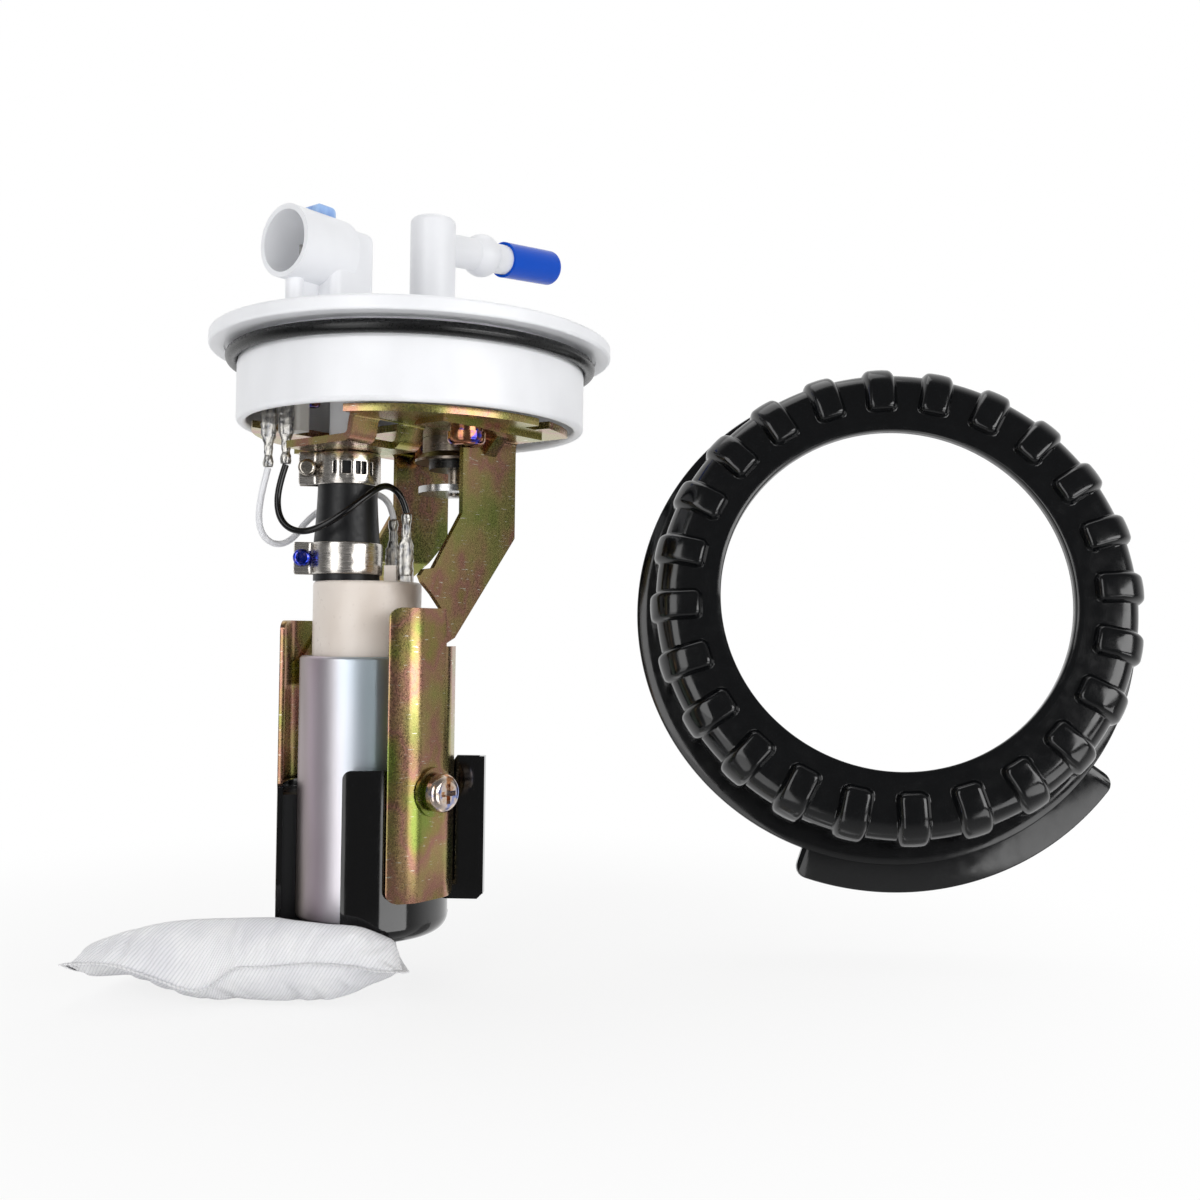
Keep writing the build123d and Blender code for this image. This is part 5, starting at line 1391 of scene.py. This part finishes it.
@dataclass
class Wiring(Assembly):
    """The two pump wires and the crimped terminals at their ends."""

    radius: float = 0.95
    lug_gap: float = 0.3
    lug_length: float = 18.0
    lug_turn: float = 35.0
    dent: float = 0.16
    dent_scale: float = 1.1
    dent_spread: float = 0.9        # the dents are a little longer than wide
    seam: float = 0.30              # how far the crimped seam stands out, as a share of half the thickness
    seam_wide: float = 0.35         # and its width, in radians
    crimp: Span = (3.0, 6.2)        # the crimp on the strands, from the terminal's start
    grip: float = 8.4               # where the grip on the blade starts
    boxy_from: float = 6.5          # where the barrel turns boxy
    boxy_over: float = 2.0          # over what length
    boxy_gain: float = 2.2          # and what its roundness's power gains
    rings: int = 60
    around: int = 20
    lengths = {"wire_white": 0.073, "wire_black": 0.066}    # real lengths between the terminals, in metres
    white: tuple[Point, ...] = (
        (-38.6, 19.2, -36.2), (-39.5, 20.6, -42.6), (-39.4, 22.2, -49.5), (-38.2, 22.8, -54.2),
        (-34.8, 23.2, -57.3), (-30.2, 23.2, -57.8), (-26.0, 22.6, -55.4), (-22.6, 21.6, -50.4),
        (-18.4, 18.6, -45.8), (-12.6, 15.2, -42.6), (-8.6, 9.6, -41.0), (-7.0, 5.0, -42.2),
        (-6.5, 1.8, -45.8), (-6.4, 1.0, -49.4))
    black: tuple[Point, ...] = (
        (-36.2, 14.3, -35.4), (-38.0, 15.3, -42.0), (-38.6, 14.6, -49.4), (-37.6, 11.6, -53.8),
        (-35.6, 6.4, -55.2), (-33.2, 0.6, -53.2), (-29.8, -5.0, -49.2), (-24.5, -7.4, -44.4),
        (-19.1, -7.7, -40.9), (-14.7, -7.7, -41.2), (-11.3, -8.2, -44.1), (-10.3, -8.7, -48.3))
    # half thickness and half width of a terminal, from the wire's end to the blade's
    thick: Curve = ((0.0, 1.30), (0.5, 1.42), (2.2, 1.36), (3.2, 1.12), (4.2, 1.12), (5.8, 1.02), (7.0, 0.86),
                    (8.0, 0.92), (9.2, 1.1), (18.0, 1.1))
    broad: Curve = ((0.0, 1.38), (0.5, 1.5), (2.2, 1.45), (3.2, 1.18), (4.2, 1.28), (5.8, 1.34), (7.0, 1.45),
                    (8.0, 1.75), (9.2, 2.1), (18.0, 2.1))
    looks = {"upper_blades": Look.TIN, "pump_blades": Look.TIN}

    def tube(self, name: str, route: Sequence[Point]) -> Piece:
        """One round tube along a smooth spline.

        Args:
            name: Name of the piece.
            route: Control points of the spline.

        Returns:
            The curve object.
        """
        curve = bpy.data.curves.new(name, "CURVE")
        curve.dimensions = "3D"
        curve.bevel_depth = self.radius * MM
        curve.bevel_resolution = 5
        curve.use_fill_caps = True
        spline = curve.splines.new("NURBS")
        spline.points.add(len(route) - 1)
        for point, at in zip(spline.points, route):
            point.co = (*(Vector(at) * MM), 1.0)
        spline.order_u = 3
        spline.use_endpoint_u = True
        spline.resolution_u = 12
        return add_object(name, curve)

    def ring(self, shape: Shape, tip: Point, way: int, far: float) -> list[Vert]:
        """One section of a terminal: round on the jacket, boxy on the blade, dented by the die.

        Args:
            shape: Shape that it is added to.
            tip: The wire's end.
            way: +1 when the terminal rises from the wire, -1 when it goes down.
            far: Distance of the section from the terminal's start.

        Returns:
            Its points, in order round it.
        """
        half_thick, half_wide = along(self.thick, far), along(self.broad, far)
        square = 2.0 + self.boxy_gain * min(max((far - self.boxy_from) / self.boxy_over, 0.0), 1.0)
        seamed = self.crimp[0] < far < self.crimp[1] or far > self.grip
        turn = Matrix.Rotation(math.radians(self.lug_turn), 3, "Z")
        points = []
        for k in range(self.around):
            angle = math.tau * k / self.around
            c, s = math.cos(angle), math.sin(angle)
            size = (abs(c) ** square + abs(s) ** square) ** (-1 / square)
            seam = self.seam * math.exp(-((angle - math.pi) / self.seam_wide) ** 2) if seamed else 0.0
            x, y = c * size * half_thick, s * size * half_wide
            x += seam * half_thick
            spot = Vector((x, y, far)) * self.dent_spread + Vector(tip)
            dented = 1.0 + self.dent * noise.noise(spot * self.dent_scale)
            at = turn @ Vector((x * dented, y * dented, 0.0))
            z = tip[2] + way * (self.lug_gap + far)
            points.append(shape.verts.new(Vector((at.x + tip[0], at.y + tip[1], z)) * MM))
        return points

    def terminals(self, name: str, tips: Sequence[Point], way: int) -> Piece:
        """Makes the pair of crimped terminals at one end of the wires.

        Args:
            name: Name of the piece.
            tips: The wires' ends.
            way: +1 for the upper pair, -1 for the lower.

        Returns:
            The piece.
        """
        shape = bmesh.new()
        for tip in tips:
            places = [self.lug_length * i / self.rings for i in range(self.rings + 1)]
            loft(shape, [self.ring(shape, tip, way, far) for far in places], capped=True)
        piece = piece_of(name, shape)
        smooth(piece.data)
        return piece

    def build(self, paint: Paintbox) -> None:
        """Makes both wires and their terminals.

        Args:
            paint: The shared finishes.
        """
        for place, end, way in (("upper", 0, 1), ("lower", -1, -1)):
            pair = self.terminals(place + "_terminals", (self.white[end], self.black[end]), way)
            self.stand_for(pair, place + "_lugs", Look.TIN, "tin", paint)
        for node, route, look in (("wire_white", self.white, Look.WHITE_WIRE),
                                  ("wire_black", self.black, Look.BLACK_WIRE)):
            piece = self.tube(node + "_jacket", route)
            self.stand_for(piece, node, look, node, paint)


@dataclass
class Strainer(Assembly):
    """The woven bag that filters the fuel, puffed up beside the cup and welded round its rim.

    It is laid out along its own length and width from the pump's axis, both level.
    """

    pump: Span = (-17.0, 0.0)
    turn: float = 125.7             # direction of the bag's length, from +X
    length: Span = (-19.5, 71.5)
    width: Span = (-16.0, 36.0)
    crest_at: float = 28.0          # where across the bag the crest and belly lines run
    cup_reach: float = 25.3
    cup_under: float = -171.4
    cup_beside: float = 11.5        # how much higher the cloth may lie beside the cup
    cup_within: float = 2.0         # and how soon it does
    cup_near: float = 3.0           # near the cup the seam is pressed below it
    cup_press: float = 0.8
    rest_z: float = -182.9
    near_fall: Span = (2.2, 0.6)    # powers that round the bag off towards its near rim
    far_fall: Span = (2.6, 0.6)     # and its belly towards the far one
    top_slope: float = 0.92         # power of the upper cloth's slope there
    end_bow: float = 2.0            # how far both ends are drawn in at their middle
    rim_pull: float = 9.0
    rim_bow: float = 2.5
    end_slant: float = 13.0         # the end under the cup is cut on the slant
    columns: int = 84
    rows: int = 50
    pressure: float = 5.0
    swell: float = 0.05             # share by which the cloth may grow
    roam: float = 1.5               # how far a point may move from the laid-out shape
    blown_large: float = 10.0       # the solver works best on a cloth of about a metre
    blown_frames: int = 20
    cloth_quality: int = 6
    cloth_mass: float = 0.2
    cloth_stiffness: float = 0.05
    hem: float = 1.3
    hem_in: float = 0.7
    hem_pitch: float = 1.35
    hem_step: float = 0.3
    hem_wave: float = 0.22          # how far each weld mark reaches out
    hem_bead: Span = (0.16, 0.14)   # half its thickness, and what a weld mark adds
    hem_ridge: float = 0.35         # share of its reach that is of full thickness
    hem_cloth: float = 0.5          # width of cloth on each of its faces
    crest: Curve = ((-19.5, -171.6), (-17.0, -169.6), (-14.0, -167.2), (-9.5, -164.7), (-3.0, -162.4),
                    (3.0, -161.8), (12.0, -161.5), (25.0, -161.8), (44.0, -162.9), (57.0, -165.7),
                    (67.0, -169.4), (71.5, -171.6))
    seam: Curve = ((-19.5, -171.8), (-12.0, -171.6), (-4.0, -170.5), (5.0, -170.2), (17.0, -171.2),
                   (26.0, -171.9), (29.0, -174.4), (33.0, -177.2), (38.0, -177.6), (48.0, -174.4),
                   (59.0, -171.4), (71.5, -171.6))
    belly: Curve = ((-19.5, -171.9), (-15.0, -173.6), (-9.0, -175.6), (-3.0, -178.5), (5.0, -180.4),
                    (30.0, -180.6), (38.0, -179.8), (46.0, -177.6), (56.0, -174.0), (65.0, -172.2),
                    (71.5, -171.8))
    far_seam: Curve = ((-19.5, -172.2), (22.0, -172.4), (45.0, -175.4), (62.0, -178.6), (75.0, -179.8))
    looks = {"sock_neck": Look.PALE_BLUE, "sock_clip": Look.VINYL}

    def puff(self, v: float, top: bool) -> float:
        """Height of the stuffed bag across its width, 1 at the crest line.

        Args:
            v: 0 at the far rim to 1 at the near one.
            top: Whether it is the upper cloth, which slopes away to the far rim.

        Returns:
            Share of the crest's height.
        """
        crest = (self.crest_at - self.width[0]) / (self.width[1] - self.width[0])
        if v > crest:
            power, roundness = self.near_fall
            return max(1.0 - ((v - crest) / (1 - crest)) ** power, 0.0) ** roundness
        if top:
            return (v / crest) ** self.top_slope
        power, roundness = self.far_fall
        return max(1.0 - (1.0 - v / crest) ** power, 0.0) ** roundness

    def place(self, u: float, v: float) -> Point:
        """Length, width and seam height at a place of the bag.

        Args:
            u: 0 to 1 along the bag.
            v: 0 to 1 from the far rim to the near one.

        Returns:
            Length, width and height of the middle sheet there.
        """
        end = (2 * u - 1) ** 4
        l = self.length[0] + (self.length[1] - self.length[0]) * u
        l -= math.copysign(self.end_bow, 2 * u - 1) * math.sin(math.pi * v) * end
        l -= self.rim_pull * (1 - v) ** 2 * u ** 3
        l += self.end_slant * (1 - v) * (1 - u) ** 3
        o = self.width[0] + (self.width[1] - self.width[0]) * v
        o += self.rim_bow * math.sin(math.pi * u) * (1 - v) ** 2
        near = v ** 4
        middle = along(self.far_seam, l) * (1 - near) + along(self.seam, l) * near
        return l, o, middle

    def under_cup(self, l: float, o: float) -> float:
        """Highest point that the cloth may reach beside and under the cup."""
        gap = math.hypot(l, o) - self.cup_reach
        if gap <= 0:
            return self.cup_under
        return self.cup_under + self.cup_beside * (1 - math.exp(-gap / self.cup_within))

    def height(self, u: float, v: float, top: bool) -> Point:
        """One point of the bag's skin.

        Args:
            u: 0 to 1 along the bag.
            v: 0 to 1 across it.
            top: Whether it is on the upper cloth.

        Returns:
            Length, width and height.
        """
        l, o, middle = self.place(u, v)
        near_cup = math.hypot(l, o) - self.cup_reach < self.cup_near
        if near_cup:
            middle = min(middle, self.cup_under - self.cup_press)
        back = along(self.far_seam, l)
        beyond = v * (self.width[1] - self.width[0]) + self.width[0] < self.crest_at
        base = back if beyond else middle
        z = base + (along(self.crest if top else self.belly, l) - base) * self.puff(v, top)
        if not top:
            return l, o, max(min(z, middle), self.rest_z)
        roof = self.under_cup(l, o)
        return l, o, max(min(z, roof), min(middle, roof) if near_cup else back)

    def world(self, l: float, o: float, z: float) -> Vector:
        """Turns the bag's own length, width and height to the module's metres."""
        along_l = math.radians(self.turn)
        across = math.radians(self.turn + 90)
        x = self.pump[0] + l * math.cos(along_l) + o * math.cos(across)
        y = self.pump[1] + l * math.sin(along_l) + o * math.sin(across)
        return Vector((x, y, z)) * MM

    def cloths(self, shape: Shape) -> list[list[list[Vert]]]:
        """Lays out the points of the upper and the lower cloth, which share their rim.

        Args:
            shape: Shape that they are added to.

        Returns:
            The points of each cloth, by column and row.
        """
        sheets: list[list[list[Vert]]] = []
        for top in (True, False):
            grid = []
            for i in range(self.columns + 1):
                column = []
                for j in range(self.rows + 1):
                    rim = i in (0, self.columns) or j in (0, self.rows)
                    if rim and not top:
                        column.append(sheets[0][i][j])
                        continue
                    u, v = i / self.columns, 0.5 - 0.5 * math.cos(math.pi * j / self.rows)
                    v = 0.5 * v + 0.5 * j / self.rows
                    at = self.place(u, v) if rim else self.height(u, v, top)
                    column.append(shape.verts.new(self.world(*at)))
                grid.append(column)
            sheets.append(grid)
        return sheets

    def skin(self) -> Piece:
        """Cuts the two cloths and joins them round the rim.

        Returns:
            The bag as one closed mesh, with the cloth's own coordinates on it.
        """
        shape = bmesh.new()
        sheets = self.cloths(shape)
        cloth = shape.loops.layers.uv.new("cloth")
        width = (self.length[1] - self.length[0]) * MM / self.columns
        for side, grid in enumerate(sheets):
            laid = [[0.0] * (self.rows + 1) for _ in range(self.columns + 1)]
            for i in range(self.columns + 1):
                for j in range(self.rows, 0, -1):
                    laid[i][j - 1] = laid[i][j] + (grid[i][j].co - grid[i][j - 1].co).length
            for i in range(self.columns):
                for j in range(self.rows):
                    corners = ((i, j), (i + 1, j), (i + 1, j + 1), (i, j + 1))
                    if side:
                        corners = corners[::-1]
                    face = shape.faces.new([grid[a][b] for a, b in corners])
                    for loop, (a, b) in zip(face.loops, corners):
                        loop[cloth].uv = (a * width, laid[a][b] * (1 if side else -1))
        return piece_of("strainer_bag", shape)

    def rim(self) -> list[int]:
        """Index of each rim vertex, in order round the bag, as skin() numbers them."""
        tall = self.rows + 1
        loop = [i * tall for i in range(self.columns + 1)]
        loop += [self.columns * tall + j for j in range(1, self.rows + 1)]
        loop += [i * tall + self.rows for i in range(self.columns - 1, -1, -1)]
        loop += [j for j in range(self.rows - 1, 0, -1)]
        return loop

    def simulate(self, piece: Piece) -> None:
        """Blows the bag up as cloth held by its seam, so that it puckers as the real one does.

        The bag is simulated larger than it is, and each point may move only a little from the
        laid-out shape.

        Args:
            piece: The bag.
        """
        mesh = piece.data
        start = [v.co.copy() for v in mesh.vertices]
        for vert in mesh.vertices:
            vert.co = vert.co * self.blown_large
        held = piece.vertex_groups.new(name="seam")
        held.add(self.rim(), 1.0, "REPLACE")
        cloth = piece.modifiers.new("cloth", "CLOTH")
        settings = cloth.settings
        settings.quality = self.cloth_quality
        settings.mass = self.cloth_mass
        settings.bending_stiffness = self.cloth_stiffness
        settings.use_pressure = True
        settings.uniform_pressure_force = self.pressure
        settings.shrink_min = -self.swell
        settings.vertex_group_mass = "seam"
        settings.effector_weights.gravity = 0.0
        cloth.collision_settings.use_collision = False
        scene = bpy.context.scene
        for step in range(1, self.blown_frames + 1):
            scene.frame_set(step)
        graph = bpy.context.evaluated_depsgraph_get()
        blown = piece.evaluated_get(graph).to_mesh()
        moved = [v.co / self.blown_large for v in blown.vertices]
        piece.modifiers.clear()
        scene.frame_set(1)
        for vert, old, new in zip(mesh.vertices, start, moved):
            way = new - old
            if way.length > self.roam * MM:
                way = way.normalized() * self.roam * MM
            vert.co = old + way
        LOG.info("bag blown up, furthest point asked for %.1f mm",
                 max((new - old).length for old, new in zip(start, moved)) / MM)

    def keep_clear(self, piece: Piece) -> None:
        """Holds the cloth off the cup and above the floor.

        Args:
            piece: The bag.
        """
        along_l = Vector((math.cos(math.radians(self.turn)), math.sin(math.radians(self.turn))))
        across = Vector((-along_l.y, along_l.x))
        for vert in piece.data.vertices:
            flat = vert.co.xy / MM - Vector(self.pump)
            roof = self.under_cup(flat.dot(along_l), flat.dot(across))
            vert.co.z = min(max(vert.co.z, self.rest_z * MM), roof * MM)

    def hem_line(self, rim: list[Vector]) -> list[Vector]:
        """The rim in short steps, for the hem to follow.

        Args:
            rim: Points of the rim, in order round it.

        Returns:
            The same line in shorter steps.
        """
        dense: list[Vector] = []
        for a, b in zip(rim, rim[1:] + rim[:1]):
            parts = max(int((b - a).length / (self.hem_step * MM)), 1)
            dense += [a.lerp(b, k / parts) for k in range(parts)]
        return dense

    def welt(self, piece: Piece) -> None:
        """Adds the thin welded hem with its row of weld marks to the bag's mesh.

        Args:
            piece: The bag.
        """
        shape = bmesh.new()
        shape.from_mesh(piece.data)
        shape.verts.ensure_lookup_table()
        cloth = shape.loops.layers.uv["cloth"]
        rim = [shape.verts[i].co.copy() for i in self.rim()]
        middle = sum(rim, Vector()) / len(rim)
        dense = self.hem_line(rim)
        count = len(dense)
        rings = []
        run = 0.0
        for k, here in enumerate(dense):
            ahead = dense[(k + 3) % count] - dense[k - 3]
            out = Vector((ahead.y, -ahead.x, 0.0)).normalized()
            if out.dot(here - middle) < 0:
                out = -out
            run += (dense[(k + 1) % count] - here).length / MM
            mark = 0.5 + 0.5 * math.cos(math.tau * run / self.hem_pitch)
            reach = (self.hem + self.hem_wave * mark) * MM
            bead = Vector((0, 0, (self.hem_bead[0] + self.hem_bead[1] * mark) * MM))
            root, ridge = here - out * self.hem_in * MM, here + out * self.hem_ridge * reach
            section = [root + bead, ridge + bead, here + out * reach, ridge - bead, root - bead]
            rings.append([shape.verts.new(p) for p in section])
        for k in range(count):
            low, high = rings[k], rings[(k + 1) % count]
            start, end = k * self.hem_step, (k + 1) * self.hem_step
            for n in range(len(low) - 1):
                face = shape.faces.new((low[n], low[n + 1], high[n + 1], high[n]))
                for corner, (x, y) in zip(face.loops, ((start, n), (start, n + 1), (end, n + 1), (end, n))):
                    corner[cloth].uv = (x * MM, y * self.hem_cloth * MM)
        shape.to_mesh(piece.data)
        shape.free()

    def build(self, paint: Paintbox) -> None:
        """Makes the bag.

        Args:
            paint: The shared finishes.
        """
        bag = self.skin()
        self.simulate(bag)
        self.keep_clear(bag)
        self.welt(bag)
        soft = bag.modifiers.new("soften", "SUBSURF")
        soft.levels = soft.render_levels = 1
        settle(bag)
        self.keep_clear(bag)
        smooth(bag.data)
        self.stand_for(bag, "sock", Look.CLOTH, "filter_cloth", paint)


def main() -> None:
    """Builds the studio and the module, sub-assembly by sub-assembly."""
    logging.basicConfig(level=logging.INFO, format="%(name)s: %(message)s")
    paint = Paintbox()
    Studio().build()
    bracket, wiring, clamps, strainer, ring = Bracket(), Wiring(), HoseClamps(), Strainer(), LockRing()
    for group in (TankLid(), bracket, Regulator(), Pump(), wiring, clamps, strainer):
        group.dress(paint)
    for group in (wiring, bracket, clamps, ring, strainer):
        group.build(paint)


if __name__ == "__main__":
    main()
